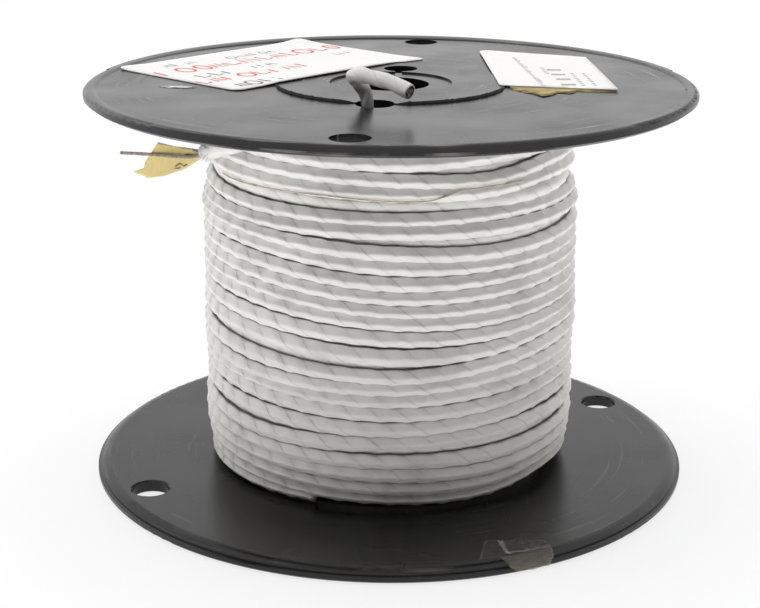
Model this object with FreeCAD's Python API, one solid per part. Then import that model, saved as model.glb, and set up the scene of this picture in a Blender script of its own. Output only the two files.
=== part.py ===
import FreeCAD, Part
import math
import os

# Plastic reel of shielded cable, standing on its lower flange. Sizes are millimetres and degrees.
# The origin is the centre of the circle that the lower rim bead stands on, with +Z along the reel's axis.
Vector = FreeCAD.Vector
UP = Vector(0, 0, 1)

# Flanges and barrel
flange_d = 165.1
upper_flange_inset = 0.7
overall_h = 107.95
rim_h = 3.5
bead_rise = 0.35
bead_w = 3.65
bead_land_w = 0.8
lip_out = 0.9
lip_low = 0.8
lip_high = 1.7
lip_slope_h = 0.25
shoulder_h = 2.4
barrel_d = 62.0
barrel_wall = 2.0
arbor_d = 20.6
arbor_wall = 2.7

# Hub caps, which close the barrel and hold the arbor tube
cap_inset = 0.3
cap_lip_t = 0.8
cap_below_crown = 0.1
cap_plate_t = 3.0
cap_skirt_wall = 2.5
cap_skirt_in = 8.0
cap_recess_d = 33.0
cap_recess_depth = 0.5
collar_wall = 2.0
collar_h = 7.0
rib_count = 6
rib_t = 1.6
rib_h = 6.0
seat_clearance = 0.05

# Holes in the flanges and caps
outer_hole_d = 10.0
outer_hole_chamfer = 0.45
outer_hole_inset = 10.3
start_hole_d = 9.9
start_hole_inset = 0.1
drive_hole_d = 9.4
drive_hole_gap = 0.05
notch_w = 1.9
upper_hole_angle = -98.2
lower_hole_angle = -153.2

# Cable and its winding
cable_d = 4.1
turn_count = 23.5
turn_gap = 0.45
winding_d = 102.0
winding_low_gap = 0.85
winding_high_gap = 1.1
low_drop = 5.6
low_taper_h = 10.8
high_drop = 1.5
high_taper_h = 11.5
leaving_angle = -109.0
core_clearance = 0.3
core_end_gap = 0.35
core_bore_clearance = 0.3

# Layers inside the cable, which show where it is cut
layer_depth = 4.0
layer_clearance = 0.03
jacket_wall = 0.45
braid_t = 0.25
conductor_d = 1.1
conductor_spread = 0.62
conductor_lift = 0.2
strand_d = 0.6
drain_d = 0.9
drain_drop = 0.85

# Inner end of the cable, which comes up through the upper start hole: bends are offsets from its start
inner_tail_out = 2.3
inner_tail_turn_angle = -2.4
inner_tail_rise = 4.8
inner_tail_bends = [
    Vector(-3.2, 0.3, 9.0),
    Vector(-2.4, -2.8, 13.3),
    Vector(1.5, -6.5, 13.3),
    Vector(5.9, -10.1, 11.2),
    Vector(10.1, -13.5, 9.5),
]

# Outer end of the cable, under the upper flange, with its bared drain wire: offsets from where each starts
outer_tail_run = 7.5
outer_tail_bends = [
    Vector(-15.0, 3.9, -0.8),
    Vector(-21.8, 7.0, -3.6),
    Vector(-28.7, 10.9, -5.9),
]
drain_run = 6.0
drain_bends = [
    Vector(-7.0, 2.8, -1.8),
    Vector(-14.4, 6.6, -1.9),
    Vector(-22.4, 10.2, -2.4),
]

# Masking tape folded behind the drain wire: each corner is a way along the wire and a height
flag_offset = Vector(-0.7, 0.4, -0.8)
flag_angle = 155.4
flag_behind = 0.65
flag_t = 0.3
flag_corners = [(0.6, 1.6), (13.3, 2.3), (15.8, -1.2), (17.9, -5.0), (21.6, -6.4), (16.9, -7.5), (0.2, -1.4)]

# Paper and tape stuck to the flanges
label_t = 0.25
note_w = 72.0
note_h = 50.0
note_round = 3.0
note_centre = Vector(-33.8, 29.75, 0)
note_angle = 46.5
stock_corners = [(27.0, 53.0), (57.5, 40.2), (59.6, -12.6), (28.9, -6.1)]
stock_round = 2.0
backing_corners = [
    (33.8, -3.0),
    (35.0, -8.0),
    (38.4, -13.0),
    (39.6, -18.0),
    (42.4, -13.6),
    (58.4, -12.2),
    (57.8, 12.0),
    (35.0, 12.0),
]
backing_gap = 0.05
clear_tape_t = 0.12
clear_tape_in = 11.75
clear_tape_drop = 2.6
clear_tape_gap = 0.05
clear_tape_start_angle = -74.4
clear_tape_end_angle = -58.6
clear_tape_tab_angle = -70.5

# Worked out from the values above
flange_r = flange_d / 2
upper_flange_r = flange_r - upper_flange_inset
barrel_r = barrel_d / 2
hub_r = barrel_r - barrel_wall
cap_r = barrel_r - cap_inset
start_hole_r = barrel_r - start_hole_inset
outer_hole_r = flange_r - outer_hole_inset
arbor_r = arbor_d / 2
arbor_out_r = arbor_r + arbor_wall
collar_r = arbor_out_r + seat_clearance + collar_wall
skirt_in_r = hub_r - seat_clearance - cap_skirt_wall
drive_hole_r = skirt_in_r - drive_hole_gap - drive_hole_d / 2
seat_z = cap_below_crown + cap_lip_t
plate_top = cap_below_crown + cap_plate_t
upper_web_z = overall_h - bead_rise
upper_inner_z = overall_h - rim_h
label_z = overall_h - cap_below_crown
turn_low = rim_h + winding_low_gap
turn_high = upper_inner_z - winding_high_gap
turn_pitch = (turn_high - turn_low + turn_gap) / (turn_count + 1)
turn_d = turn_pitch - turn_gap
first_z = turn_low + turn_d / 2
last_z = turn_high - turn_d / 2
winding_r = (winding_d - turn_d) / 2
core_low = rim_h + core_end_gap
core_high = upper_inner_z - core_end_gap
cable_bore_r = cable_d / 2 - jacket_wall


def polar(radius, degrees, z=0.0):
    """Point at a radius and an angle about the reel's axis."""
    angle = math.radians(degrees)
    return Vector(radius * math.cos(angle), radius * math.sin(angle), z)


def rod(radius, low, high, centre=Vector(0, 0, 0)):
    """Upright round bar between two heights."""
    return Part.makeCylinder(radius, high - low, Vector(centre.x, centre.y, low))


def ring(inner_radius, outer_radius, low, high):
    """Upright tube about the reel's axis."""
    return rod(outer_radius, low, high).cut(rod(inner_radius, low, high))


def bar(length, width, height, start, degrees, low):
    """Upright-sided bar that starts at a radius and runs outward at an angle."""
    block = Part.makeBox(length, width, height, Vector(start, -width / 2, low))
    return block.rotate(Vector(0, 0, 0), UP, degrees)


def ring_sector(inner_radius, outer_radius, low, high, start, end):
    """Part of an upright tube between two angles."""
    sides = [Part.makeCylinder(radius, high - low, Vector(0, 0, low), UP, end - start)
             for radius in (outer_radius, inner_radius)]
    return sides[0].cut(sides[1]).rotate(Vector(0, 0, 0), UP, start)


def plate(outline, low, thickness):
    """Flat sheet with straight edges between its corners."""
    corners = [Vector(x, y, low) for x, y in outline]
    return Part.Face(Part.makePolygon(corners + corners[:1])).extrude(UP * thickness)


def round_corners(sheet, radius):
    """Round a sheet's upright corner edges."""
    upright = [edge for edge in sheet.Edges if abs(edge.tangentAt(edge.FirstParameter).z) > 0.5]
    return sheet.makeFillet(radius, upright)


def line(start, end):
    """Straight edge."""
    return Part.LineSegment(start, end).toShape()


def arc_between(start, corner, end):
    """Arc tangent to start-corner and corner-end, whose two legs are equally long."""
    middle = (start + end) * 0.5
    cos_half = (end - start).Length / (2 * (corner - start).Length)
    crown = middle + (corner - middle) * (cos_half / (1 + cos_half))
    return Part.Arc(start, crown, end).toShape()


def arc_leaving(start, heading, end):
    """Arc that leaves start along a heading and ends at end."""
    chord = end - start
    leg = chord.Length ** 2 / (2 * chord.dot(heading))
    return arc_between(start, start + heading * leg, end)


def swept_tube(name, edges, radius):
    """Round tube along a smooth chain of edges, with its volume set against its length."""
    first = edges[0]
    start = first.valueAt(first.FirstParameter)
    section = Part.Wire(Part.makeCircle(radius, start, first.tangentAt(first.FirstParameter)))
    tube = Part.Wire(edges).makePipeShell([section], True, False)
    length = sum(edge.Length for edge in edges)
    share = tube.Volume / (math.pi * radius ** 2 * length)
    print(f"{name}: {length:.1f} mm long, volume {share:.4f} of section times length")
    return tube


def cord_edges(name, points):
    """Straight runs joined by tangent arcs, each as large as its two runs allow."""
    edges = []
    radii = []
    place = points[0]
    for before, corner, after in zip(points, points[1:], points[2:]):
        back = before - corner
        ahead = after - corner
        leg = 0.45 * min(back.Length, ahead.Length)
        half_turn = (math.pi - back.getAngle(ahead)) / 2
        radii.append(leg / math.tan(half_turn))
        start = corner + back.normalize() * leg
        end = corner + ahead.normalize() * leg
        edges.append(line(place, start))
        edges.append(arc_between(start, corner, end))
        place = end
    edges.append(line(place, points[-1]))
    print(f"{name}: bend radii", ", ".join(f"{radius:.1f}" for radius in radii))
    return edges


def start_hole(angle):
    """Cutter for the hole that the cable's inner end comes through."""
    return rod(start_hole_d / 2, -rim_h, rim_h, polar(start_hole_r, angle))


def outer_hole(centre):
    """Cutter for a hole near the rim, with its edge broken at the flange's inner face."""
    chamfer_low = rim_h - outer_hole_chamfer
    hole_r = outer_hole_d / 2
    foot = Vector(centre.x, centre.y, chamfer_low)
    flare = Part.makeCone(hole_r, hole_r + outer_hole_chamfer, outer_hole_chamfer, foot)
    return rod(hole_r, 0, rim_h, centre).fuse(flare)


def make_flange(angle, radius):
    """Flange with its outer face down: flat web with a rim bead, a lip round the edge, a rounded shoulder."""
    crown_r = radius - bead_w / 2
    shoulder_r = radius - lip_out
    seat_low = Vector(hub_r, 0, bead_rise)
    foot = Vector(radius - bead_w, 0, bead_rise)
    land_in = Vector(crown_r - bead_land_w / 2, 0, 0)
    land_out = Vector(crown_r + bead_land_w / 2, 0, 0)
    lip_start = Vector(radius, 0, lip_low)
    lip_end = Vector(radius, 0, lip_high)
    shoulder_start = Vector(shoulder_r, 0, lip_high + lip_slope_h)
    shoulder_end = Vector(shoulder_r, 0, shoulder_h)
    face_end = Vector(radius - bead_w, 0, rim_h)
    seat_high = Vector(hub_r, 0, rim_h)
    outline = [
        line(seat_low, foot),
        arc_leaving(land_in, Vector(-1, 0, 0), foot),
        line(land_in, land_out),
        arc_leaving(land_out, Vector(1, 0, 0), lip_start),
        line(lip_start, lip_end),
        line(lip_end, shoulder_start),
        line(shoulder_start, shoulder_end),
        arc_leaving(face_end, Vector(1, 0, 0), shoulder_end),
        line(face_end, seat_high),
        line(seat_high, seat_low),
    ]
    flange = Part.Face(Part.Wire(Part.__sortEdges__(outline))).revolve(Vector(0, 0, 0), UP, 360)
    for turn in (0, 180):
        centre = polar(outer_hole_r, angle + turn)
        flange = flange.cut(outer_hole(centre))
    return flange.cut(rod(barrel_r, 0, seat_z)).cut(start_hole(angle))


def make_hub_cap(angle):
    """Hub cap with its outer face down: disc, skirt inside the barrel, collar for the arbor tube, ribs."""
    skirt_r = hub_r - seat_clearance
    skirt_top = rim_h + cap_skirt_in
    cap = rod(cap_r, cap_below_crown, seat_z).fuse(rod(skirt_r, cap_below_crown, skirt_top))
    cap = cap.cut(rod(skirt_in_r, plate_top, skirt_top))
    cap = cap.fuse(ring(arbor_out_r + seat_clearance, collar_r, plate_top, plate_top + collar_h))
    for rib in range(rib_count):
        rib_angle = angle + (rib + 0.5) * 360 / rib_count
        rib_length = skirt_in_r - collar_r + cap_skirt_wall / 2 + collar_wall / 2
        cap = cap.fuse(bar(rib_length, rib_t, rib_h, collar_r - collar_wall / 2, rib_angle, plate_top))
    recess_r = cap_recess_d / 2
    recess_top = cap_below_crown + cap_recess_depth
    drive_centre = polar(drive_hole_r, angle + 180)
    cap = cap.cut(rod(recess_r, 0, recess_top))
    cap = cap.cut(bar(drive_hole_r - recess_r, notch_w, recess_top, recess_r - notch_w, angle + 180, 0))
    cap = cap.cut(rod(drive_hole_d / 2, 0, plate_top, drive_centre))
    cap = cap.cut(rod(arbor_r, 0, plate_top))
    return cap.cut(start_hole(angle)).removeSplitter()


def turned_over(shape):
    """The same piece at the reel's upper end."""
    return shape.mirror(Vector(0, 0, overall_h / 2), UP)


def winding_radius(z):
    """Radius of a turn's centre line, which is less near the flanges."""
    low = max(0, 1 - (z - first_z) / low_taper_h) * low_drop
    high = max(0, 1 - (last_z - z) / high_taper_h) * high_drop
    return winding_r - low - high


def turn_point(turns):
    """Point on the outer layer's centre line after some turns."""
    z = first_z + turn_pitch * turns
    return polar(winding_radius(z), leaving_angle + 360 * (turn_count - turns), z)


def turn_heading(turns):
    """Unit direction of the outer layer's centre line."""
    step = 0.001
    return (turn_point(turns + step) - turn_point(turns - step)).normalize()


def biarc(start, start_heading, end, end_heading):
    """Two tangent arcs that join two points with given headings."""
    chord = end - start
    headings = start_heading + end_heading
    spread = 4 - headings.dot(headings)
    reach = chord.dot(headings)
    leg = (math.sqrt(reach ** 2 + spread * chord.dot(chord)) - reach) / spread
    corners = [start + start_heading * leg, end - end_heading * leg]
    joint = (corners[0] + corners[1]) * 0.5
    return [arc_between(start, corners[0], joint), arc_between(joint, corners[1], end)]


def outer_layer_edges():
    """Outer layer's centre line: one biarc each half turn, with a straight run at both ends."""
    places = [half / 2 for half in range(round(2 * turn_count) + 1)]
    points = [turn_point(place) for place in places]
    headings = [turn_heading(place) for place in places]
    edges = [line(points[0] - headings[0] * turn_d, points[0])]
    for index in range(len(places) - 1):
        edges += biarc(points[index], headings[index], points[index + 1], headings[index + 1])
    edges.append(line(points[-1], points[-1] + headings[-1] * turn_d))
    return edges


def least_turn_gap(edges):
    """Least gap between turns of the outer layer, measured on points of its centre line."""
    per_turn = 72
    points = Part.Wire(edges).discretize(Number=round(per_turn * turn_count))
    least = min(point.distanceToPoint(other)
                for index, point in enumerate(points)
                for other in points[index + per_turn // 2:index + 3 * per_turn // 2])
    return least - turn_d


def make_outer_layer():
    """Outermost layer of cable, as one unbroken tube."""
    edges = outer_layer_edges()
    print(f"outer layer: {turn_count} turns, least gap to itself {least_turn_gap(edges):.2f} mm")
    return swept_tube("outer layer", edges, turn_d / 2)


def make_inner_layers():
    """Plain core that stands for the layers of cable under the outer one."""
    bore_r = barrel_r + core_bore_clearance
    offset = turn_d / 2 + core_clearance
    low_offset = offset * math.hypot(low_drop, low_taper_h) / low_taper_h
    high_offset = offset * math.hypot(high_drop, high_taper_h) / high_taper_h
    outline = [
        Vector(bore_r, 0, core_low),
        Vector(winding_radius(core_low) - low_offset, 0, core_low),
        Vector(winding_r - low_offset, 0, first_z + low_taper_h),
        Vector(winding_r - high_offset, 0, last_z - high_taper_h),
        Vector(winding_radius(core_high) - high_offset, 0, core_high),
        Vector(bore_r, 0, core_high),
    ]
    return Part.Face(Part.makePolygon(outline + outline[:1])).revolve(Vector(0, 0, 0), UP, 360)


def cut_end(points):
    """End point of a tail, its direction there, and the directions across and up from it."""
    along = (points[-1] - points[-2]).normalize()
    across = along.cross(UP).normalize()
    return points[-1], along, across, across.cross(along)


def layer(end, along, radius, depth=layer_depth):
    """Round bar that ends in the plane of a cut."""
    return Part.makeCylinder(radius, depth, end - along * depth, along)


def make_jacket(name, points):
    """Jacket of a tail, bored at its cut end for the layers inside."""
    end, along, across, above = cut_end(points)
    tube = swept_tube(name, cord_edges(name, points), cable_d / 2)
    return tube.cut(layer(end, along, cable_bore_r))


def make_braid(points):
    """Braided shield inside the jacket."""
    end, along, across, above = cut_end(points)
    outer = cable_bore_r - layer_clearance
    return layer(end, along, outer).cut(layer(end, along, outer - braid_t))


def conductor_ends(points):
    """Centres of the two conductors in the plane of the cut, with the cut's direction."""
    end, along, across, above = cut_end(points)
    centres = [end + across * (side * conductor_spread) + above * conductor_lift for side in (-1, 1)]
    return centres, along


def make_insulation(points):
    """Insulation of the two conductors."""
    centres, along = conductor_ends(points)
    bore_r = strand_d / 2 + layer_clearance
    return Part.Compound([layer(place, along, conductor_d / 2).cut(layer(place, along, bore_r))
                          for place in centres])


def make_strands(points):
    """Copper of the two conductors."""
    centres, along = conductor_ends(points)
    return Part.Compound([layer(place, along, strand_d / 2) for place in centres])


def inner_tail_points():
    """Route of the inner end: straight up through the start hole, folded over, cut off."""
    start = polar(barrel_r + inner_tail_out, upper_hole_angle + inner_tail_turn_angle, core_high)
    return [start, start + UP * inner_tail_rise] + [start + bend for bend in inner_tail_bends]


def outer_tail_points():
    """Route of the outer end: on from the last turn, sagging as it leaves."""
    heading = turn_heading(turn_count)
    start = turn_point(turn_count) + heading * turn_d
    return [start, start + heading * outer_tail_run] + [start + bend for bend in outer_tail_bends]


def make_inner_drain():
    """Drain wire of the inner end, cut off with the rest."""
    end, along, across, above = cut_end(inner_tail_points())
    return layer(end - above * drain_drop, along, drain_d / 2)


def make_outer_drain():
    """Drain wire of the outer end, bared and left long."""
    end, along, across, above = cut_end(outer_tail_points())
    start = end - along * layer_depth - above * drain_drop
    points = [start, start + along * drain_run] + [end + bend for bend in drain_bends]
    return swept_tube("drain wire", cord_edges("drain wire", points), drain_d / 2)


def make_flag():
    """Strip of masking tape, upright behind the drain wire."""
    end, tail_along, across, above = cut_end(outer_tail_points())
    along = polar(1, flag_angle)
    behind = along.cross(UP)
    origin = end + flag_offset + behind * flag_behind
    corners = [origin + along * way + UP * height for way, height in flag_corners]
    return Part.Face(Part.makePolygon(corners + corners[:1])).extrude(behind * flag_t)


def make_note():
    """Hand-written label, lying on the hub cap and the rim."""
    sheet = Part.makeBox(note_w, note_h, label_t, Vector(-note_w / 2, -note_h / 2, 0))
    sheet = round_corners(sheet, note_round).rotate(Vector(0, 0, 0), UP, note_angle)
    return sheet.translate(note_centre + UP * label_z)


def make_stock_label():
    """Printed label, lying on the hub cap and its backing."""
    return round_corners(plate(stock_corners, label_z, label_t), stock_round)


def make_backing():
    """Torn card left under the printed label."""
    return plate(backing_corners, upper_web_z, label_z - upper_web_z - backing_gap)


def make_clear_tape():
    """Clear tape on the lower flange's inner face, folded down over its edge."""
    tab_r = flange_r + clear_tape_gap
    low = rim_h + clear_tape_gap
    high = low + clear_tape_t
    tab_low = high - clear_tape_drop
    flat_r = flange_r - clear_tape_in
    flat = ring_sector(flat_r, tab_r, low, high, clear_tape_start_angle, clear_tape_end_angle)
    tab = ring_sector(tab_r, tab_r + clear_tape_t, tab_low, high, clear_tape_tab_angle, clear_tape_end_angle)
    return flat.fuse(tab).removeSplitter()


def build():
    """Every piece of the reel by its node's name."""
    inner_tail = inner_tail_points()
    outer_tail = outer_tail_points()
    return {
        "lower_flange": make_flange(lower_hole_angle, flange_r),
        "upper_flange": turned_over(make_flange(upper_hole_angle, upper_flange_r)),
        "lower_hub_cap": make_hub_cap(lower_hole_angle),
        "upper_hub_cap": turned_over(make_hub_cap(upper_hole_angle)),
        "barrel": ring(hub_r, barrel_r, rim_h, upper_inner_z),
        "arbor_tube": ring(arbor_r, arbor_out_r, plate_top, overall_h - plate_top),
        "cable_inner_layers": make_inner_layers(),
        "cable_outer_layer": make_outer_layer(),
        "inner_tail_jacket": make_jacket("inner tail", inner_tail),
        "inner_tail_braid": make_braid(inner_tail),
        "inner_tail_insulation": make_insulation(inner_tail),
        "inner_tail_strands": make_strands(inner_tail),
        "inner_tail_drain_wire": make_inner_drain(),
        "outer_tail_jacket": make_jacket("outer tail", outer_tail),
        "outer_tail_braid": make_braid(outer_tail),
        "outer_tail_insulation": make_insulation(outer_tail),
        "outer_tail_strands": make_strands(outer_tail),
        "outer_tail_drain_wire": make_outer_drain(),
        "masking_tape_flag": make_flag(),
        "handwritten_label": make_note(),
        "printed_label": make_stock_label(),
        "torn_label_backing": make_backing(),
        "clear_tape": make_clear_tape(),
    }


os.makedirs("parts", exist_ok=True)
for name, shape in build().items():
    print(f"{name}: {len(shape.Solids)} solid, {shape.Volume:.1f} cubic mm, valid {shape.isValid()}")
    shape.exportStep(f"parts/{name}.step")
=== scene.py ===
"""Dressed model of a plastic reel of shielded cable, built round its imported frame.

Lengths in the classes are millimetres and angles are degrees. Meshes are made in metres, in the
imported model's own frame: +Z runs up the reel's axis, and -Y faces the camera.
"""

import logging
import math
import random
from collections.abc import Callable, Iterable, Sequence
from dataclasses import dataclass
from enum import Enum

import bmesh
import bpy
from mathutils import Matrix, Vector, noise


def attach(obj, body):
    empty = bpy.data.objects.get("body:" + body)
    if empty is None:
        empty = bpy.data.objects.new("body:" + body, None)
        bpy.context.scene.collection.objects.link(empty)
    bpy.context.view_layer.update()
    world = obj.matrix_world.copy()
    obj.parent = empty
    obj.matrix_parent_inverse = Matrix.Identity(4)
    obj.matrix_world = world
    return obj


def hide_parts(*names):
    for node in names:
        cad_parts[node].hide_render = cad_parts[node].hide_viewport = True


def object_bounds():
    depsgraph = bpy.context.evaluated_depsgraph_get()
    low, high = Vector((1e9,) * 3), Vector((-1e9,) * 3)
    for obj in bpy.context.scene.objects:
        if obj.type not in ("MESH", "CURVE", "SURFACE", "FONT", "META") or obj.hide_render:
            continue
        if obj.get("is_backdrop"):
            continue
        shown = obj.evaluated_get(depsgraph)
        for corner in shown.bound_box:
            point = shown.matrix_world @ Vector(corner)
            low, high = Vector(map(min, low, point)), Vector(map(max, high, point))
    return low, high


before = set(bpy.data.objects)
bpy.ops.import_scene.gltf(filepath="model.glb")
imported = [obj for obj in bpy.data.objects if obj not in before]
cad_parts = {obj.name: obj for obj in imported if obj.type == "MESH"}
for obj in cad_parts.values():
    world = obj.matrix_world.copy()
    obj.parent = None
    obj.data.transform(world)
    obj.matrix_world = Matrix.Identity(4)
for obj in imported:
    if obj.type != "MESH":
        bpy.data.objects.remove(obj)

LOG = logging.getLogger("reel")
MM = 0.001
BODY = "root"
UP = Vector((0.0, 0.0, 1.0))

# Shape of a laid turn's ring: how much closer its points stand on the outer side, and how steeply
# and how sharply that side falls away from its ridge.
RING_CROWDING = 0.45
RIDGE_SLOPE = 0.85
RIDGE_EDGE = 0.14

Material = bpy.types.Material
MeshObject = bpy.types.Object
Mesh = bpy.types.Mesh
Tree = bpy.types.NodeTree
Node = bpy.types.Node
Socket = bpy.types.NodeSocket
Outline = Sequence[tuple[float, float]]
Placer = Callable[[float, float], Vector]
PenLine = tuple[int, tuple[float, float], float, float, float]

# Control points of the cable's two free ends, from where each leaves the reel to where it is cut.
INNER_ROUTE = (
    (-6.126, -32.732, 104.1),
    (-5.921, -30.7, 110.332),
    (-10.266, -32.133, 114.659),
    (-8.777, -35.976, 116.297),
    (-3.803, -39.507, 115.6),
    (-0.226, -42.832, 115.3),
    (3.974, -46.232, 113.6),
)
OUTER_ROUTE = (
    (-18.938, -43.916, 101.594),
    (-26.025, -41.462, 101.696),
    (-33.938, -40.016, 100.794),
    (-40.738, -36.916, 97.994),
    (-47.638, -33.016, 95.694),
)


class Hue(Enum):
    """Colours of the reel, its cable and what is stuck on it, as sRGB hex values."""

    REEL_BLACK = "101011"
    REEL_SCUFF = "918e8a"
    REEL_DUST = "6f6d69"
    REEL_WELD = "2c2a29"
    JACKET_WHITE = "eae8e5"
    # Painted shade for the grooves between laid turns.
    JACKET_GROOVE_SHADE = "6b6257"
    JACKET_SEAM = "86817a"
    JACKET_DIRT = "b9b6b0"
    JACKET_NECK_GREY = "6c6b6a"
    BRAID_COPPER = "8a5a3c"
    INSULATION_GREY = "8f958a"
    COPPER_CUT = "b87a52"
    TINNED_WIRE = "bdb3a6"
    WIRE_SHADE = "8a7d6e"
    MASKING_TAN = "e6d28f"
    MASKING_SHADE = "d8c484"
    PAPER_WHITE = "fcfbf9"
    CARD_TAN = "cdbd86"
    CARD_BROWN = "6d4b2c"
    INK_RED = "e2564d"
    INK_BLACK = "3a3a3e"
    PRINT_GREY = "b4b4b0"
    FILM_CLEAR = "b5ab9c"
    THREAD_TAN = "d3c7ae"
    THREAD_SHADE = "9a8b70"
    FLOOR_PALE = "f8f8f8"
    FLOOR_SHADE = "8b8b8e"


def linear(hue: Hue, alpha: float = 1.0) -> tuple[float, float, float, float]:
    """Turn an sRGB hex value into a linear colour.

    Args:
        hue: The colour's name.
        alpha: Opacity to put with it.

    Returns:
        Red, green, blue and alpha.
    """
    channels = [int(hue.value[i:i + 2], 16) / 255 for i in (0, 2, 4)]
    red, green, blue = (
        channel / 12.92 if channel <= 0.04045 else ((channel + 0.055) / 1.055) ** 2.4 for channel in channels
    )
    return red, green, blue, alpha


def add_node(tree: Tree, kind: str, settings: dict | None = None, links: dict | None = None) -> Node:
    """Add one node to a tree.

    Args:
        tree: The tree it goes in.
        kind: Blender's name for the node.
        settings: Values by the name or number of an input, or by the name of a property. "stops" holds
            a colour ramp's positions and colours.
        links: Output sockets by the name or number of the input they feed.

    Returns:
        The new node.
    """
    node = tree.nodes.new(kind)
    for key, value in (settings or {}).items():
        if key == "stops":
            ramp = node.color_ramp
            while len(ramp.elements) < len(value):
                ramp.elements.new(0.5)
            for element, (position, colour) in zip(ramp.elements, value):
                element.position = position
                element.color = colour
        elif isinstance(key, int) or key in node.inputs:
            node.inputs[key].default_value = value
        else:
            setattr(node, key, value)
    for key, socket in (links or {}).items():
        tree.links.new(socket, node.inputs[key])
    return node


def grey(value: float) -> tuple[float, float, float, float]:
    """Neutral colour for a ramp that carries a number."""
    return value, value, value, 1.0


def object_place(tree: Tree) -> Socket:
    """Place of a surface point on the object, in metres."""
    return add_node(tree, "ShaderNodeTexCoord").outputs["Object"]


def read_attribute(tree: Tree, name: str) -> Node:
    """Read a value that the mesh carries."""
    return add_node(tree, "ShaderNodeAttribute", {"attribute_type": "GEOMETRY", "attribute_name": name})


def maths(tree: Tree, operation: str, *terms: Socket | float, clamp: bool = False) -> Socket:
    """Add one Math node.

    Args:
        tree: The tree it goes in.
        operation: Blender's name for the sum.
        terms: Its inputs in order, as numbers or as the sockets that feed them.
        clamp: Whether the result is kept between 0 and 1.

    Returns:
        The result's socket.
    """
    numbers = {index: term for index, term in enumerate(terms) if isinstance(term, (int, float))}
    links = {index: term for index, term in enumerate(terms) if index not in numbers}
    settings = {"operation": operation, "use_clamp": clamp, **numbers}
    return add_node(tree, "ShaderNodeMath", settings, links).outputs[0]


def grey_ramp(tree: Tree, value: Socket, *stops: tuple[float, float]) -> Socket:
    """Turn one number into another by a ramp.

    Args:
        tree: The tree it goes in.
        value: The number to read.
        stops: Positions on the ramp and the number at each.

    Returns:
        The result's socket.
    """
    greys = [(position, grey(level)) for position, level in stops]
    return add_node(tree, "ShaderNodeValToRGB", {"stops": greys}, {"Fac": value}).outputs[0]


def remap(tree: Tree, value: Socket, source: tuple[float, float], target: tuple[float, float]) -> Socket:
    """Turn one range of numbers into another.

    Args:
        tree: The tree it goes in.
        value: The number to read.
        source: The range that it is read in.
        target: The range that it comes out in.

    Returns:
        The result's socket.
    """
    ranges = {"From Min": source[0], "From Max": source[1], "To Min": target[0], "To Max": target[1]}
    return add_node(tree, "ShaderNodeMapRange", ranges, {"Value": value}).outputs[0]


def blend(tree: Tree, share: Socket, under: Hue | Socket, over: Hue) -> Socket:
    """Lay one colour over another.

    Args:
        tree: The tree it goes in.
        share: How much of the upper colour shows.
        under: The lower colour.
        over: The upper colour.

    Returns:
        The result's socket.
    """
    settings, links = {"data_type": "RGBA", 7: linear(over)}, {0: share}
    if isinstance(under, Hue):
        settings[6] = linear(under)
    else:
        links[6] = under
    return add_node(tree, "ShaderNodeMix", settings, links).outputs[2]


def noise_texture(tree: Tree, place: Socket, size_mm: float, detail: float, roughness: float = 0.5) -> Socket:
    """Add a noise texture.

    Args:
        tree: The tree it goes in.
        place: Where it is read.
        size_mm: Size of its largest grain, in millimetres.
        detail: How many finer grains lie in it.
        roughness: How strong the finer grains are.

    Returns:
        The noise's socket.
    """
    settings = {"Scale": 1 / (size_mm * MM), "Detail": detail, "Roughness": roughness}
    return add_node(tree, "ShaderNodeTexNoise", settings, {"Vector": place}).outputs["Fac"]


def add_bump(tree: Tree, shader: Node, height: Socket, strength: float, depth_mm: float) -> None:
    """Give a surface fine relief.

    Args:
        tree: The tree it goes in.
        shader: The surface's shader.
        height: The relief's height, from 0 to 1.
        strength: How much of it is felt.
        depth_mm: Depth of the relief, in millimetres.
    """
    settings = {"Strength": strength, "Distance": depth_mm * MM}
    relief = add_node(tree, "ShaderNodeBump", settings, {"Height": height})
    tree.links.new(relief.outputs[0], shader.inputs["Normal"])


def new_surface(name: str) -> tuple[Material, Tree, Node]:
    """Start a material.

    Args:
        name: The material's name.

    Returns:
        The material, its tree and its Principled shader, already joined to the output.
    """
    material = bpy.data.materials.new(name)
    material.use_nodes = True
    tree = material.node_tree
    tree.nodes.clear()
    shader = add_node(tree, "ShaderNodeBsdfPrincipled")
    add_node(tree, "ShaderNodeOutputMaterial", links={"Surface": shader.outputs["BSDF"]})
    return material, tree, shader


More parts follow.
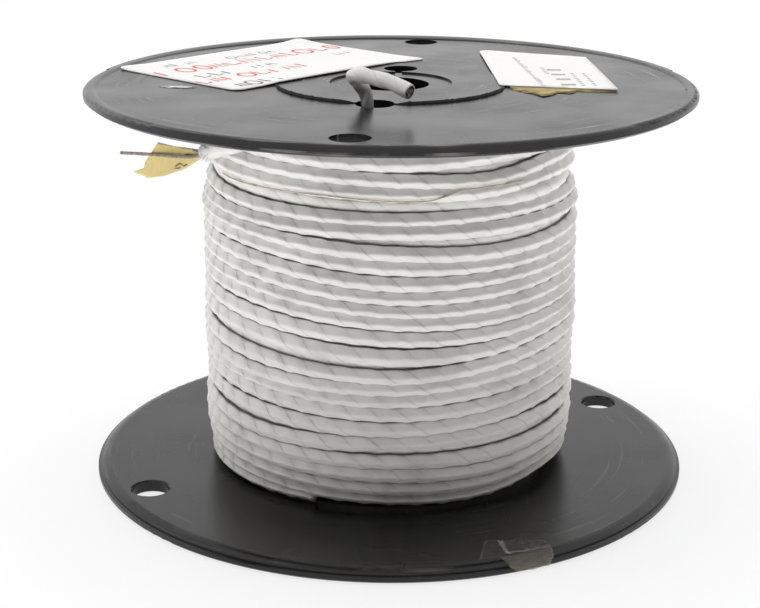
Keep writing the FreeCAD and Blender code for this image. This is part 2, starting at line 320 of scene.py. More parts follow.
@dataclass(frozen=True)
class MouldedPolystyrene:
    """Black high-impact polystyrene, injection moulded and handled: satin, finely grained, ring-scuffed."""

    ring_mm: float = 1.2
    grain_mm: float = 0.4
    cloud_mm: float = 22.0
    speck_mm: float = 5.5
    streaks_round: float = 1.5
    roughness: float = 0.24
    ior: float = 1.45

    def make(self) -> Material:
        """Make the material. Rings about the axis come from turning on shelves and spindles."""
        material, tree, shader = new_surface("moulded_polystyrene_black")
        place = object_place(tree)
        flat = add_node(tree, "ShaderNodeVectorMath", {"operation": "MULTIPLY", 1: (1, 1, 0)}, {0: place})
        radius = add_node(tree, "ShaderNodeVectorMath", {"operation": "LENGTH"}, {0: flat.outputs[0]})
        axes = add_node(tree, "ShaderNodeSeparateXYZ", links={0: place})
        angle = maths(tree, "ARCTAN2", axes.outputs["Y"], axes.outputs["X"])
        rings = maths(tree, "MULTIPLY", radius.outputs["Value"], 1 / (self.ring_mm * MM))
        sweep = maths(tree, "MULTIPLY", angle, self.streaks_round)
        polar = add_node(tree, "ShaderNodeCombineXYZ", links={"X": rings, "Y": sweep})
        streak_settings = {"Scale": 1.0, "Detail": 4.0, "Roughness": 0.65}
        streak_noise = add_node(tree, "ShaderNodeTexNoise", streak_settings, {"Vector": polar.outputs[0]})
        streaks = streak_noise.outputs["Fac"]
        clouds = noise_texture(tree, place, self.cloud_mm, 5.0)
        grain = noise_texture(tree, place, self.grain_mm, 2.0)
        speck_settings = {"Scale": 1 / (self.speck_mm * MM), "Randomness": 1.0}
        specks = add_node(tree, "ShaderNodeTexVoronoi", speck_settings, {"Vector": place})
        # Scuffs are the strongest streaks, in patches, and more of them toward the top.
        scratch = grey_ramp(tree, streaks, (0.57, 0.0), (0.66, 1.0))
        patch = grey_ramp(tree, clouds, (0.48, 0.0), (0.64, 1.0))
        worn = remap(tree, axes.outputs["Z"], (0.0, 100 * MM), (0.25, 1.0))
        scuff = maths(tree, "MULTIPLY", maths(tree, "MULTIPLY", scratch, patch), worn)
        dust = grey_ramp(tree, specks.outputs["Distance"], (0.02, 1.0), (0.05, 0.0))
        scuffed = blend(tree, scuff, Hue.REEL_BLACK, Hue.REEL_SCUFF)
        dusted = blend(tree, dust, scuffed, Hue.REEL_DUST)
        rough = remap(tree, clouds, (0.3, 0.7), (self.roughness - 0.05, self.roughness + 0.08))
        rougher = maths(tree, "MULTIPLY_ADD", scuff, 0.06, rough)
        add_bump(tree, shader, maths(tree, "MULTIPLY_ADD", streaks, 0.5, grain), 0.25, 0.03)
        tree.links.new(dusted, shader.inputs["Base Color"])
        tree.links.new(rougher, shader.inputs["Roughness"])
        shader.inputs["IOR"].default_value = self.ior
        return material


@dataclass(frozen=True)
class WrappedJacket:
    """White polyester tape wound spirally over the cable: soft gloss, a fine dark seam at each lap."""

    lap_mm: float = 6.8
    crease_mm: float = 1.6
    smudge_mm: float = 14.0
    seam_mm: float = 5.0
    tallest_mm: float = 120.0
    roughness: float = 0.3
    ior: float = 1.5

    def make(self) -> Material:
        """Make the material.

        It reads the "wrap" attribute: metres along, then the cosine and sine round. The inner end is thin
        where it comes up out of the start hole, and its colour there is a darker grey.

        Returns:
            The material.
        """
        material, tree, shader = new_surface("spiral_wrapped_jacket")
        place = object_place(tree)
        height = add_node(tree, "ShaderNodeSeparateXYZ", links={0: place}).outputs["Z"]
        wrapped = read_attribute(tree, "wrap").outputs["Vector"]
        wrap = add_node(tree, "ShaderNodeSeparateXYZ", links={0: wrapped})
        turn = maths(tree, "ARCTAN2", wrap.outputs["Z"], wrap.outputs["Y"])
        laps = maths(tree, "MULTIPLY", wrap.outputs["X"], 1 / (self.lap_mm * MM))
        lap = maths(tree, "FRACT", maths(tree, "MULTIPLY_ADD", turn, -1 / math.pi, laps))
        # The seam is a dark line with a fainter one beside it, and it shows only in places.
        faint_line = (0.055, 0.0), (0.068, 0.7), (0.081, 0.0)
        seam = grey_ramp(tree, lap, (0.0, 1.0), (0.022, 0.0), *faint_line, (0.985, 0.0), (1.0, 1.0))
        seam_shown = grey_ramp(tree, noise_texture(tree, place, self.seam_mm, 2.0), (0.42, 0.1), (0.62, 1.0))
        seam_seen = maths(tree, "MULTIPLY", seam, seam_shown)
        # Dirt lies in smudges, and the colour greys toward the bottom of the reel.
        # The grooves between turns that were laid get painted shade.
        smudges = noise_texture(tree, place, self.smudge_mm, 6.0, 0.6)
        smudge = grey_ramp(tree, smudges, (0.5, 0.0), (0.78, 0.6))
        low = remap(tree, height, (45 * MM, 8 * MM), (0.0, 0.5))
        dirt = maths(tree, "ADD", smudge, low, clamp=True)
        # Painted shade: the sides of each laid turn, toward the grooves between turns, are coloured darker.
        groove_shade_band = grey_ramp(tree, wrap.outputs["Y"], (0.0, 1.0), (0.22, 0.0))
        painted_groove_shade = maths(tree, "MULTIPLY", groove_shade_band, read_attribute(tree, "laid").outputs["Fac"])
        tall = maths(tree, "MULTIPLY", height, 1 / (self.tallest_mm * MM))
        # The neck above the start hole is coloured a darker grey.
        stretched = grey_ramp(tree, tall, (0.878, 0.0), (0.89, 0.9), (0.93, 0.85), (0.952, 0.0))
        worn = blend(tree, dirt, Hue.JACKET_WHITE, Hue.JACKET_DIRT)
        seamed = blend(tree, seam_seen, worn, Hue.JACKET_SEAM)
        groove_shaded = blend(tree, painted_groove_shade, seamed, Hue.JACKET_GROOVE_SHADE)
        finished = blend(tree, stretched, groove_shaded, Hue.JACKET_NECK_GREY)
        rise = grey_ramp(tree, lap, (0.0, 0.0), (0.05, 0.35), (0.5, 0.7), (0.96, 1.0), (1.0, 0.0))
        crease = noise_texture(tree, place, self.crease_mm, 2.0)
        add_bump(tree, shader, maths(tree, "MULTIPLY_ADD", crease, 0.35, rise), 0.55, 0.1)
        tree.links.new(finished, shader.inputs["Base Color"])
        shader.inputs["Roughness"].default_value = self.roughness
        shader.inputs["IOR"].default_value = self.ior
        return material


@dataclass(frozen=True)
class GrainedSolid:
    """A plain stuff whose colour wanders between two hues and whose surface has one grain."""

    name: str
    light: Hue
    dark: Hue
    grain_mm: float
    relief_mm: float
    roughness: float
    metallic: float = 0.0
    stretch: tuple[float, float, float] = (1.0, 1.0, 1.0)

    def make(self) -> Material:
        """Make the material."""
        material, tree, shader = new_surface(self.name)
        stretching = {"operation": "MULTIPLY", 1: self.stretch}
        stretched = add_node(tree, "ShaderNodeVectorMath", stretching, {0: object_place(tree)})
        grain = noise_texture(tree, stretched.outputs[0], self.grain_mm, 4.0, 0.6)
        hues = [(0.35, linear(self.light)), (0.75, linear(self.dark))]
        tone = add_node(tree, "ShaderNodeValToRGB", {"stops": hues}, {"Fac": grain})
        add_bump(tree, shader, grain, 0.5, self.relief_mm)
        tree.links.new(tone.outputs[0], shader.inputs["Base Color"])
        shader.inputs["Roughness"].default_value = self.roughness
        shader.inputs["Metallic"].default_value = self.metallic
        return material


@dataclass(frozen=True)
class ClearFilm:
    """Clear polypropylene tape gone a little yellow: glossy, seen only at its edges, creases and folds."""

    crease_mm: float = 3.0
    roughness: float = 0.2

    def make(self) -> Material:
        """Make the material. It reads the "haze" attribute for how much the film shows."""
        material, tree, shader = new_surface("clear_tape_film")
        haze = read_attribute(tree, "haze").outputs["Fac"]
        creases = noise_texture(tree, object_place(tree), self.crease_mm, 1.0)
        uneven = remap(tree, creases, (0.0, 1.0), (0.6, 1.4))
        cover = maths(tree, "MULTIPLY", haze, uneven, clamp=True)
        add_bump(tree, shader, creases, 0.4, 0.08)
        tree.links.new(cover, shader.inputs["Alpha"])
        shader.inputs["Base Color"].default_value = linear(Hue.FILM_CLEAR)
        shader.inputs["Roughness"].default_value = self.roughness
        return material


class Finishes:
    """Every material of the scene, made once."""

    def __init__(self) -> None:
        """Make the materials."""

        def solid(name: str, light: Hue, dark: Hue, *grain: float, **more: float | tuple) -> Material:
            """Make one plain finish, from its grain, relief and roughness."""
            return GrainedSolid(name, light, dark, *grain, **more).make()

        self.reel = MouldedPolystyrene().make()
        self.jacket = WrappedJacket().make()
        self.film = ClearFilm().make()
        self.fibre = solid("torn_polyester_fibre", Hue.JACKET_WHITE, Hue.JACKET_DIRT, 0.8, 0.02, 0.6)
        self.braid = solid(
            "tinned_copper_braid", Hue.BRAID_COPPER, Hue.CARD_BROWN, 0.25, 0.08, 0.45, metallic=0.8
        )
        self.insulation = solid("pvc_insulation_grey", Hue.INSULATION_GREY, Hue.JACKET_DIRT, 0.8, 0.02, 0.4)
        self.copper = solid("cut_copper", Hue.COPPER_CUT, Hue.BRAID_COPPER, 0.2, 0.04, 0.35, metallic=1.0)
        self.tinned = solid(
            "tinned_drain_wire", Hue.TINNED_WIRE, Hue.WIRE_SHADE, 1.2, 0.03, 0.4, metallic=0.3
        )
        creped = (1.0, 1.0, 0.35)
        self.masking = solid(
            "creped_masking_tape", Hue.MASKING_TAN, Hue.MASKING_SHADE, 0.9, 0.06, 0.75, stretch=creped
        )
        self.paper = solid("label_paper", Hue.PAPER_WHITE, Hue.PAPER_WHITE, 0.5, 0.01, 0.55)
        self.card = solid("torn_card", Hue.CARD_TAN, Hue.CARD_BROWN, 1.6, 0.25, 0.9, stretch=(0.4, 1.0, 1.0))
        self.scrap = solid("paper_and_glue_scrap", Hue.PAPER_WHITE, Hue.CARD_BROWN, 1.4, 0.1, 0.8)
        self.ink_red = solid("red_marker_ink", Hue.INK_RED, Hue.INK_RED, 0.6, 0.005, 0.5)
        self.ink_black = solid("black_marker_ink", Hue.INK_BLACK, Hue.JACKET_SEAM, 0.9, 0.005, 0.5)
        self.weld = solid("welded_polystyrene_edge", Hue.REEL_BLACK, Hue.REEL_WELD, 0.7, 0.1, 0.8)
        self.print_grey = solid("faded_print", Hue.PRINT_GREY, Hue.JACKET_DIRT, 0.7, 0.005, 0.6)
        self.thread = solid("binder_thread", Hue.THREAD_TAN, Hue.THREAD_SHADE, 2.5, 0.05, 0.7)


@dataclass
class Station:
    """One ring of a tube: its centre, the directions out and down from it, and its half sizes."""

    centre: Vector
    out: Vector
    down: Vector
    half_out: float
    half_down: float
    along: float


def plain_mesh(name: str, points: Iterable[Sequence[float]], faces: Sequence[tuple[int, ...]]) -> Mesh:
    """Mesh from points in metres and the numbers of each face's points."""
    mesh = bpy.data.meshes.new(name)
    mesh.from_pydata([tuple(point) for point in points], [], faces)
    return mesh


def finished_mesh(name: str, whole: bmesh.types.BMesh) -> Mesh:
    """Mesh from a bmesh, which is then freed."""
    mesh = bpy.data.meshes.new(name)
    whole.to_mesh(mesh)
    whole.free()
    return mesh


def set_attribute(mesh: Mesh, name: str, kind: str, values: Sequence[float]) -> None:
    """Give a mesh's points a value that a material reads.

    Args:
        mesh: The mesh.
        name: The attribute's name.
        kind: Blender's name for what it holds, FLOAT or FLOAT_VECTOR.
        values: One number, or three, for each point in turn.
    """
    field = "vector" if kind == "FLOAT_VECTOR" else "value"
    mesh.attributes.new(name, kind, "POINT").data.foreach_set(field, values)


def new_object(name: str, mesh: Mesh, material: Material) -> MeshObject:
    """Put a mesh in the scene, smooth shaded and riding on the reel.

    Args:
        name: The piece's name.
        mesh: Its mesh, in metres in the row frame.
        material: Its finish.

    Returns:
        The object.
    """
    mesh.materials.append(material)
    mesh.polygons.foreach_set("use_smooth", [True] * len(mesh.polygons))
    piece = bpy.data.objects.new(name, mesh)
    bpy.context.scene.collection.objects.link(piece)
    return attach(piece, BODY)


def polar_point(reach: float, angle: float, height: float) -> Vector:
    """Point in metres, from millimetres out and up and an angle in radians."""
    return Vector((reach * math.cos(angle), reach * math.sin(angle), height)) * MM


def clamped(value: float) -> float:
    """The value, kept between 0 and 1."""
    return min(max(value, 0.0), 1.0)


def smooth_step(value: float) -> float:
    """A smooth rise from 0 to 1 as the value goes from 0 to 1."""
    share = clamped(value)
    return share * share * (3 - 2 * share)


def sawtooth(share: float, peak: float) -> float:
    """Rise and fall over one lap.

    Args:
        share: How much of the lap has passed.
        peak: Where in the lap its top is.

    Returns:
        The height, which climbs evenly to 1 at the peak and then drops smoothly back to 0.
    """
    return min(share / peak, 1.0) - smooth_step((share - peak) / (1 - peak))


def hermite(start: float, end: float, slope_start: float, slope_end: float, share: float) -> float:
    """Value on a smooth curve between two others.

    Args:
        start: The first value.
        end: The last value.
        slope_start: The curve's rise over the whole way, at its start.
        slope_end: The same at its end.
        share: How much of the way has passed.

    Returns:
        The value there.
    """
    square, cube = share * share, share ** 3
    return (
        start * (2 * cube - 3 * square + 1)
        + slope_start * (cube - 2 * square + share)
        + end * (3 * square - 2 * cube)
        + slope_end * (cube - square)
    )


def tube_mesh(
    name: str,
    stations: Sequence[Station],
    sides: int,
    swell: Callable[[float, float], float] | None = None,
    bore_mm: float = 0.0,
    bore_depth_mm: float = 0.0,
    ridge: Callable[[float], float] | None = None,
    laid: float = 0.0,
) -> Mesh:
    """Closed tube through a row of stations, with its "wrap" and "laid" attributes.

    Args:
        name: The mesh's name.
        stations: The rings, in metres.
        sides: Points in each ring, closer together on the outer side.
        swell: Extra radius in metres at a distance along and an angle round.
        bore_mm: Radius of a bore at the tube's far end, or 0.
        bore_depth_mm: Depth of that bore.
        ridge: Where a ridge lies on the outer side at a distance along, from -1, up, to 1. The side is
            flattened above and below it.
        laid: One for turns that lie against each other, whose sides get painted shade, or 0.

    Returns:
        The mesh.
    """
    points: list[Vector] = []
    wrap: list[float] = []
    rings = 0

    def put(station: Station, radius_out: float, radius_down: float, swollen: bool) -> None:
        """Add one ring."""
        nonlocal rings
        for side in range(sides):
            turn = 2 * math.pi * side / sides
            turn -= RING_CROWDING * math.sin(turn)
            extra = swell(station.along, turn) if swell and swollen else 0.0
            reach, low = math.cos(turn), math.sin(turn)
            if ridge and reach > 0:
                away = math.hypot(low - ridge(station.along), RIDGE_EDGE) - RIDGE_EDGE
                reach = min(reach, 1 - RIDGE_SLOPE * away)
            out = station.out * (reach * (radius_out + extra))
            points.append(station.centre + out + station.down * (low * (radius_down + extra)))
            wrap.extend((station.along, math.cos(turn), low))
        rings += 1

    for station in stations:
        put(station, station.half_out, station.half_down, True)
    if bore_mm:
        last = stations[-1]
        back = (last.centre - stations[-2].centre).normalized() * bore_depth_mm * MM
        bottom = Station(last.centre - back, last.out, last.down, 0.0, 0.0, last.along)
        put(last, bore_mm * MM, bore_mm * MM, False)
        put(bottom, bore_mm * MM, bore_mm * MM, False)
    faces = []
    for ring in range(rings - 1):
        for side in range(sides):
            here, after = ring * sides + side, ring * sides + (side + 1) % sides
            faces.append((here, after, after + sides, here + sides))
    faces.append(tuple(range(sides - 1, -1, -1)))
    faces.append(tuple((rings - 1) * sides + side for side in range(sides)))
    mesh = plain_mesh(name, points, faces)
    set_attribute(mesh, "wrap", "FLOAT_VECTOR", wrap)
    set_attribute(mesh, "laid", "FLOAT", [laid] * len(points))
    return mesh


def joined_tubes(name: str, rows: Iterable[Sequence[Station]], sides: int) -> Mesh:
    """One mesh of several plain thin tubes.

    Args:
        name: The mesh's name.
        rows: The rings of each tube.
        sides: Points in each ring.

    Returns:
        The mesh.
    """
    whole = bmesh.new()
    for stations in rows:
        part = tube_mesh(name, stations, sides)
        whole.from_mesh(part)
        bpy.data.meshes.remove(part)
    return finished_mesh(name, whole)


def spiral_swell(lap_mm: float, rise_mm: float) -> Callable[[float, float], float]:
    """Relief of a spirally wound tape: each lap stands out a little over the last.

    Args:
        lap_mm: Distance along the cable from one lap to the next.
        rise_mm: How far a lap stands out.

    Returns:
        A function of the distance along, in metres, and the angle round.
    """

    def swell(along: float, turn: float) -> float:
        """Extra radius in metres."""
        signed = turn if turn <= math.pi else turn - 2 * math.pi
        lap = (along / (lap_mm * MM) - signed / math.pi) % 1.0
        uneven = 0.8 + 0.5 * noise.noise(Vector((along * 45, 0.0, 0.0)))
        return rise_mm * MM * uneven * (sawtooth(lap, 0.72) - 0.5)

    return swell


def ridge_swing(lap_mm: float, swing: float) -> Callable[[float], float]:
    """Place of the ridge round a wrapped turn: it climbs along each lap and drops back at the seam.

    Args:
        lap_mm: Distance along the cable from one lap to the next.
        swing: How far it swings, as a share of the turn's half height.

    Returns:
        A function of the distance along, in metres.
    """

    def place(along: float) -> float:
        """Place of the ridge, down being positive."""
        lap = (along / (lap_mm * MM)) % 1.0
        uneven = 0.7 + 0.8 * noise.noise(Vector((along * 60, 4.0, 0.0)))
        return swing * uneven * (1 - 2 * sawtooth(lap, 0.8))

    return place


def eased(values: Sequence[float], place: float) -> float:
    """Smooth value between a row of numbers.

    Args:
        values: The numbers, one for each whole place.
        place: Where to read, which may lie a little outside the row.

    Returns:
        The value there, on a curve through the numbers.
    """
    index = min(max(math.floor(place), 0), len(values) - 2)
    share = place - index
    before = values[max(index - 1, 0)]
    start, end = values[index], values[index + 1]
    after = values[min(index + 2, len(values) - 1)]
    if not 0 <= share <= 1:
        return start + (end - start) * share
    return hermite(start, end, (end - before) / 2, (after - start) / 2, share)


@dataclass
class Winding:
    """The wound cable: an outer layer of uneven turns, and the layer under it that shows in its gaps.

    Turns are counted from the top. Each has its height at four places round the reel's front, and
    heights between are eased. Most turns drop to the next one's place at the left front.
    """

    spots: tuple[float, ...] = (-60.0, 0.0, 30.0, 60.0)
    heights: tuple[tuple[float, float, float, float], ...] = (
        (101.4, 100.3, 100.6, 100.8),
        (97.3, 96.1, 96.7, 97.0),
        (93.6, 91.9, 90.9, 93.0),
        (89.9, 88.5, 88.2, 89.2),
        (82.9, 82.0, 82.0, 81.9),
        (79.4, 79.0, 78.5, 78.3),
        (76.5, 73.7, 72.6, 72.7),
        (73.3, 70.0, 69.0, 69.0),
        (69.3, 65.8, 65.5, 65.6),
        (65.5, 62.1, 61.9, 62.2),
        (62.0, 58.7, 58.4, 58.6),
        (58.8, 55.5, 54.9, 55.2),
        (54.1, 51.4, 51.0, 51.7),
        (49.6, 46.6, 46.9, 48.5),
        (43.6, 41.5, 42.8, 44.2),
        (38.8, 38.0, 39.2, 39.8),
        (36.0, 34.7, 35.6, 36.3),
        (32.7, 31.0, 31.6, 32.8),
        (27.9, 27.0, 27.9, 28.9),
        (22.5, 23.1, 24.0, 23.9),
        (18.5, 18.1, 18.0, 18.3),
        (15.0, 14.1, 13.6, 14.2),
        (11.6, 10.0, 9.7, 11.1),
        (8.4, 6.6, 6.5, 8.2),
        (5.7, 5.7, 5.7, 5.7),
    )
    reaches: tuple[float, ...] = (
        47.8, 47.9, 47.9, 48.0, 48.2, 49.0, 49.3, 49.0, 49.2, 49.0, 49.1, 49.2,
        49.3, 49.6, 49.7, 49.3, 49.0, 49.0, 49.2, 49.4, 49.2, 48.6, 47.5, 46.4, 46.0,
    )
    half_out: float = 2.05
    half_down: float = 2.0
    fullest: float = 2.3
    flattest: float = 1.6
    squeeze_slack: float = 0.06
    squeeze_bulge: float = 0.35
    under_drop: float = 3.3
    under_run: tuple[float, float] = (0.1, 22.6)
    open_gap: float = 4.0
    open_rise: float = 0.45
    surfacing: tuple[float, float, float] = (3.13, 0.07, 1.9)
    lowest: float = 5.7
    highest: float = 102.3
    fan: tuple[float, float, float] = (2.6, 12.0, 0.12)
    wander_out: float = 0.16
    wander_up: float = 0.15
    wander_apart: float = 31.7
    first_turn: float = -19.0 / 360.0
    last_turn: float = 23.93
    step: float = 0.65
    sides: int = 20
    lap_mm: float = 6.8
    lap_rise: float = 0.24
    ridge_swing: float = 0.13

    def height(self, turns: float) -> float:
        """Height of the cable's middle at a place along the winding.

        Args:
            turns: Place along the winding, in turns.

        Returns:
            The height, on a smooth curve through the measured ones.
        """
        count = len(self.spots)

        def knot(number: int) -> tuple[float, float]:
            """Place and height of a measured point."""
            turn, spot = divmod(min(max(number, 0), count * len(self.heights) - 1), count)
            return turn + self.spots[spot] / 360, self.heights[turn][spot]

        turn = math.floor(turns - self.spots[0] / 360)
        number = count * turn + sum(turns - turn >= spot / 360 for spot in self.spots) - 1
        (place_before, before), (start_place, start) = knot(number - 1), knot(number)
        (end_place, end), (place_after, after) = knot(number + 1), knot(number + 2)
        run, shortest = end_place - start_place, 0.05
        if run <= 0:
            return start
        slope_start = (end - before) / max(end_place - place_before, shortest) * run
        slope_end = (after - start) / max(place_after - start_place, shortest) * run
        return hermite(start, end, slope_start, slope_end, clamped((turns - start_place) / run))

    def spread(self, turns: float, height: float) -> float:
        """Extra radius of the lowest turns away from the reel's front, where they fan out."""
        most, fade, front = self.fan
        away = 1 - math.exp(-(((turns + 0.5) % 1 - 0.5) / front) ** 2)
        return most * math.exp(-(height / fade) ** 2) * away

    def centre(self, turns: float, offset: float = 0.0, drop: float = 0.0) -> Vector:
        """Centre of the cable at a place along the winding.

        Args:
            turns: Place along the winding, in turns.
            offset: Share of the way down to the next turn, which is a half for the layer under.
            drop: Distance nearer to the axis, less where the outer turns leave a gap to rise into.

        Returns:
            The point in metres.
        """
        height = self.height(turns)
        if offset:
            height += (self.height(turns + 1) - height) * offset
        wide = max(0.0, self.height(turns) - self.height(turns + 1) - self.open_gap)
        place, width, most = self.surfacing
        risen = self.open_rise * wide + most * math.exp(-(((turns - place) / width) ** 2))
        reach = eased(self.reaches, turns + offset) - max(0.0, drop - risen if drop else 0.0)
        angle = 2 * math.pi * (turns - 0.25)
        spot = Vector((math.cos(angle) * 1.6, math.sin(angle) * 1.6, turns * 1.7 + offset * 9))
        reach += self.spread(turns, height) + self.wander_out * noise.noise(spot)
        height += self.wander_up * noise.noise(spot + Vector((0.0, 0.0, self.wander_apart)))
        height = min(max(height, self.lowest), self.highest)
        return polar_point(reach, angle, height)

    def stations(self, start: float, end: float, offset: float = 0.0, drop: float = 0.0) -> list[Station]:
        """Rings along the winding.

        Args:
            start: First place, in turns.
            end: Last place, in turns.
            offset: Share of the way down to the next turn.
            drop: Distance nearer to the axis.

        Returns:
            The rings.
        """
        turn_length = 2 * math.pi * (self.reaches[0] - drop)
        count = int((end - start) * turn_length / self.step)
        places = [start + (end - start) * index / count for index in range(count + 1)]
        centres = [self.centre(place, offset, drop) for place in places]
        rings = []
        along = 0.0
        for index, (place, here) in enumerate(zip(places, centres)):
            ahead = (centres[min(index + 1, count)] - centres[max(index - 1, 0)]).normalized()
            outward = Vector((here.x, here.y, 0)).normalized()
            outward = (outward - ahead * outward.dot(ahead)).normalized()
            level = self.height(place)
            gap_above, gap_below = self.height(place - 1) - level, level - self.height(place + 1)
            squeeze = (gap_above + gap_below) / 4 + self.squeeze_slack
            squeeze = min(max(squeeze, self.flattest), self.half_down)
            if min(gap_above, gap_below) > 2 * self.half_down and not drop:
                squeeze = min(min(gap_above, gap_below) / 2, self.fullest)
            if index:
                along += (here - centres[index - 1]).length
            half_out = self.half_out + self.squeeze_bulge * (self.half_down - squeeze)
            rings.append(Station(here, outward, ahead.cross(outward), half_out * MM, squeeze * MM, along))
        return rings

    def build(self, finishes: Finishes) -> list[MeshObject]:
        """Make the two layers and the body under them.

        Args:
            finishes: The scene's materials.

        Returns:
            The outer layer, the layer under it and the body.
        """
        swell = spiral_swell(self.lap_mm, self.lap_rise)
        ridge = ridge_swing(self.lap_mm, self.ridge_swing)
        outer_rings = self.stations(self.first_turn, self.last_turn)
        outer_mesh = tube_mesh("cable_turns", outer_rings, self.sides, swell, ridge=ridge, laid=1.0)
        outer = new_object("cable_turns", outer_mesh, finishes.jacket)
        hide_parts("cable_outer_layer")
        under_rings = self.stations(*self.under_run, 0.5, self.under_drop)
        under_mesh = tube_mesh("cable_turns_under", under_rings, self.sides, swell, laid=1.0)
        under = new_object("cable_turns_under", under_mesh, finishes.jacket)
        core = new_object("cable_inner_body", self.core_mesh(), finishes.jacket)
        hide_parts("cable_inner_layers")
        return [outer, under, core]

    def core_mesh(self) -> Mesh:
        """Body of the deeper layers: a ring whose ends show concentric turns.

        Returns:
            The mesh.
        """
        low, high, bore, rim = 3.9, 104.0, 31.4, 43.6
        crown, chamfer, turns, parts, segments = 0.5, 0.6, 3, 8, 160
        width = (rim - bore) / turns
        end_face = [
            (bore + width * (turn + part / parts), crown * (1 - math.sin(math.pi * part / parts)))
            for turn in range(turns)
            for part in range(parts + 1)
        ]
        profile = [(bore, low + chamfer), *((reach, low + dip) for reach, dip in end_face)]
        profile += [(rim, low + crown), (rim, high - crown)]
        profile += [*((reach, high - dip) for reach, dip in reversed(end_face)), (bore, high - chamfer)]
        count = len(profile)
        points, faces = [], []
        for segment in range(segments):
            angle = 2 * math.pi * segment / segments
            points += [polar_point(reach, angle, height) for reach, height in profile]
            here, after = segment * count, (segment + 1) % segments * count
            faces += [
                (here + side, after + side, after + (side + 1) % count, here + (side + 1) % count)
                for side in range(count)
            ]
        mesh = plain_mesh("cable_inner_body", points, faces)
        # The body reads as a side of the cable free of painted groove shade: metres round it, then a cosine
        # and a sine.
        around, cosine, sine = 40 * MM, 0.8, 0.6
        wrap = [value for x, y, _ in points for value in (math.atan2(y, x) * around, cosine, sine)]
        set_attribute(mesh, "wrap", "FLOAT_VECTOR", wrap)
        return mesh


def route_line(name: str, route: Sequence[tuple[float, float, float]]) -> list[Vector]:
    """Smooth line of a cord: a NURBS spline with the route's points as its control points.

    Args:
        name: Name for the spline.
        route: The points in millimetres.

    Returns:
        Points along the spline, in metres.
    """
    curve = bpy.data.curves.new(name, "CURVE")
    curve.dimensions = "3D"
    spline = curve.splines.new("NURBS")
    spline.points.add(len(route) - 1)
    for point, place in zip(spline.points, route):
        point.co = (place[0] * MM, place[1] * MM, place[2] * MM, 1.0)
    spline.order_u = 3
    spline.use_endpoint_u = True
    spline.resolution_u = 24
    holder = bpy.data.objects.new(name, curve)
    line = bpy.data.meshes.new_from_object(holder)
    points = [vertex.co.copy() for vertex in line.vertices]
    bpy.data.objects.remove(holder)
    bpy.data.curves.remove(curve)
    bpy.data.meshes.remove(line)
    return points


def even_points(points: Sequence[Vector], step: float) -> list[Vector]:
    """Points at even steps along a line.

    Args:
        points: The line.
        step: Distance between points, in metres.

    Returns:
        The points, from the line's first to its last.
    """
    lengths = [0.0]
    for start, end in zip(points, points[1:]):
        lengths.append(lengths[-1] + (end - start).length)
    count = max(2, round(lengths[-1] / step))
    found = []
    index = 0
    for number in range(count + 1):
        goal = lengths[-1] * number / count
        while index < len(points) - 2 and lengths[index + 1] < goal:
            index += 1
        run = lengths[index + 1] - lengths[index]
        share = (goal - lengths[index]) / run if run else 0.0
        found.append(points[index].lerp(points[index + 1], share))
    return found


def line_stations(points: Sequence[Vector], radius: float, first_out: Vector) -> list[Station]:
    """Rings along a free line, whose directions turn no more than the line does.

    Args:
        points: The line, in metres.
        radius: The tube's radius, in metres.
        first_out: Direction that the first ring's "out" is nearest to.

    Returns:
        The rings.
    """
    rings = []
    outward = first_out
    along = 0.0
    for index, here in enumerate(points):
        ahead = (points[min(index + 1, len(points) - 1)] - points[max(index - 1, 0)]).normalized()
        outward = (outward - ahead * outward.dot(ahead)).normalized()
        if index:
            along += (here - points[index - 1]).length
        rings.append(Station(here, outward, ahead.cross(outward), radius, radius, along))
    return rings


@dataclass(frozen=True)
class Fray:
    """Torn fibres round a cut edge: how many, and the least and most of what each one has."""

    count: int
    seed: int = 31
    root_reaches: tuple[float, float] = (1.3, 2.0)
    setbacks: tuple[float, float] = (0.2, 2.6)
    forward: tuple[float, float] = (0.2, 1.0)
    outward: tuple[float, float] = (0.1, 0.9)
    bends: tuple[float, float] = (-0.4, 0.4)
    lengths: tuple[float, float] = (0.7, 1.7)
    knots: tuple[float, ...] = (0, 0.35, 0.7, 1)
    root_radius: float = 0.09
    tip_radius: float = 0.03

    def build(self, name: str, ring: Station, ahead: Vector, finishes: Finishes) -> MeshObject:
        """Make the fibres.

        Args:
            name: The piece's name.
            ring: The cable's last ring.
            ahead: Direction in which the cable ends.
            finishes: The scene's materials.

        Returns:
            The fibres, as one piece.
        """
        chance = random.Random(self.seed)
        rows = []
        for _ in range(self.count):
            turn = chance.uniform(0, 2 * math.pi)
            outward = ring.out * math.cos(turn) + ring.down * math.sin(turn)
            start = ring.centre + outward * chance.uniform(*self.root_reaches) * MM
            start -= ahead * chance.uniform(*self.setbacks) * MM
            way = ahead * chance.uniform(*self.forward) + outward * chance.uniform(*self.outward)
            way.normalize()
            bend = Vector([chance.uniform(*self.bends) for _ in range(3)])
            length = chance.uniform(*self.lengths) * MM
            centres = [start + (way * knot + bend * knot * knot) * length for knot in self.knots]
            stations = line_stations(centres, self.root_radius * MM, UP)
            stations[-1].half_out = stations[-1].half_down = self.tip_radius * MM
            rows.append(stations)
        fibres = new_object(name, joined_tubes(name, rows, 4), finishes.fibre)
        return fibres


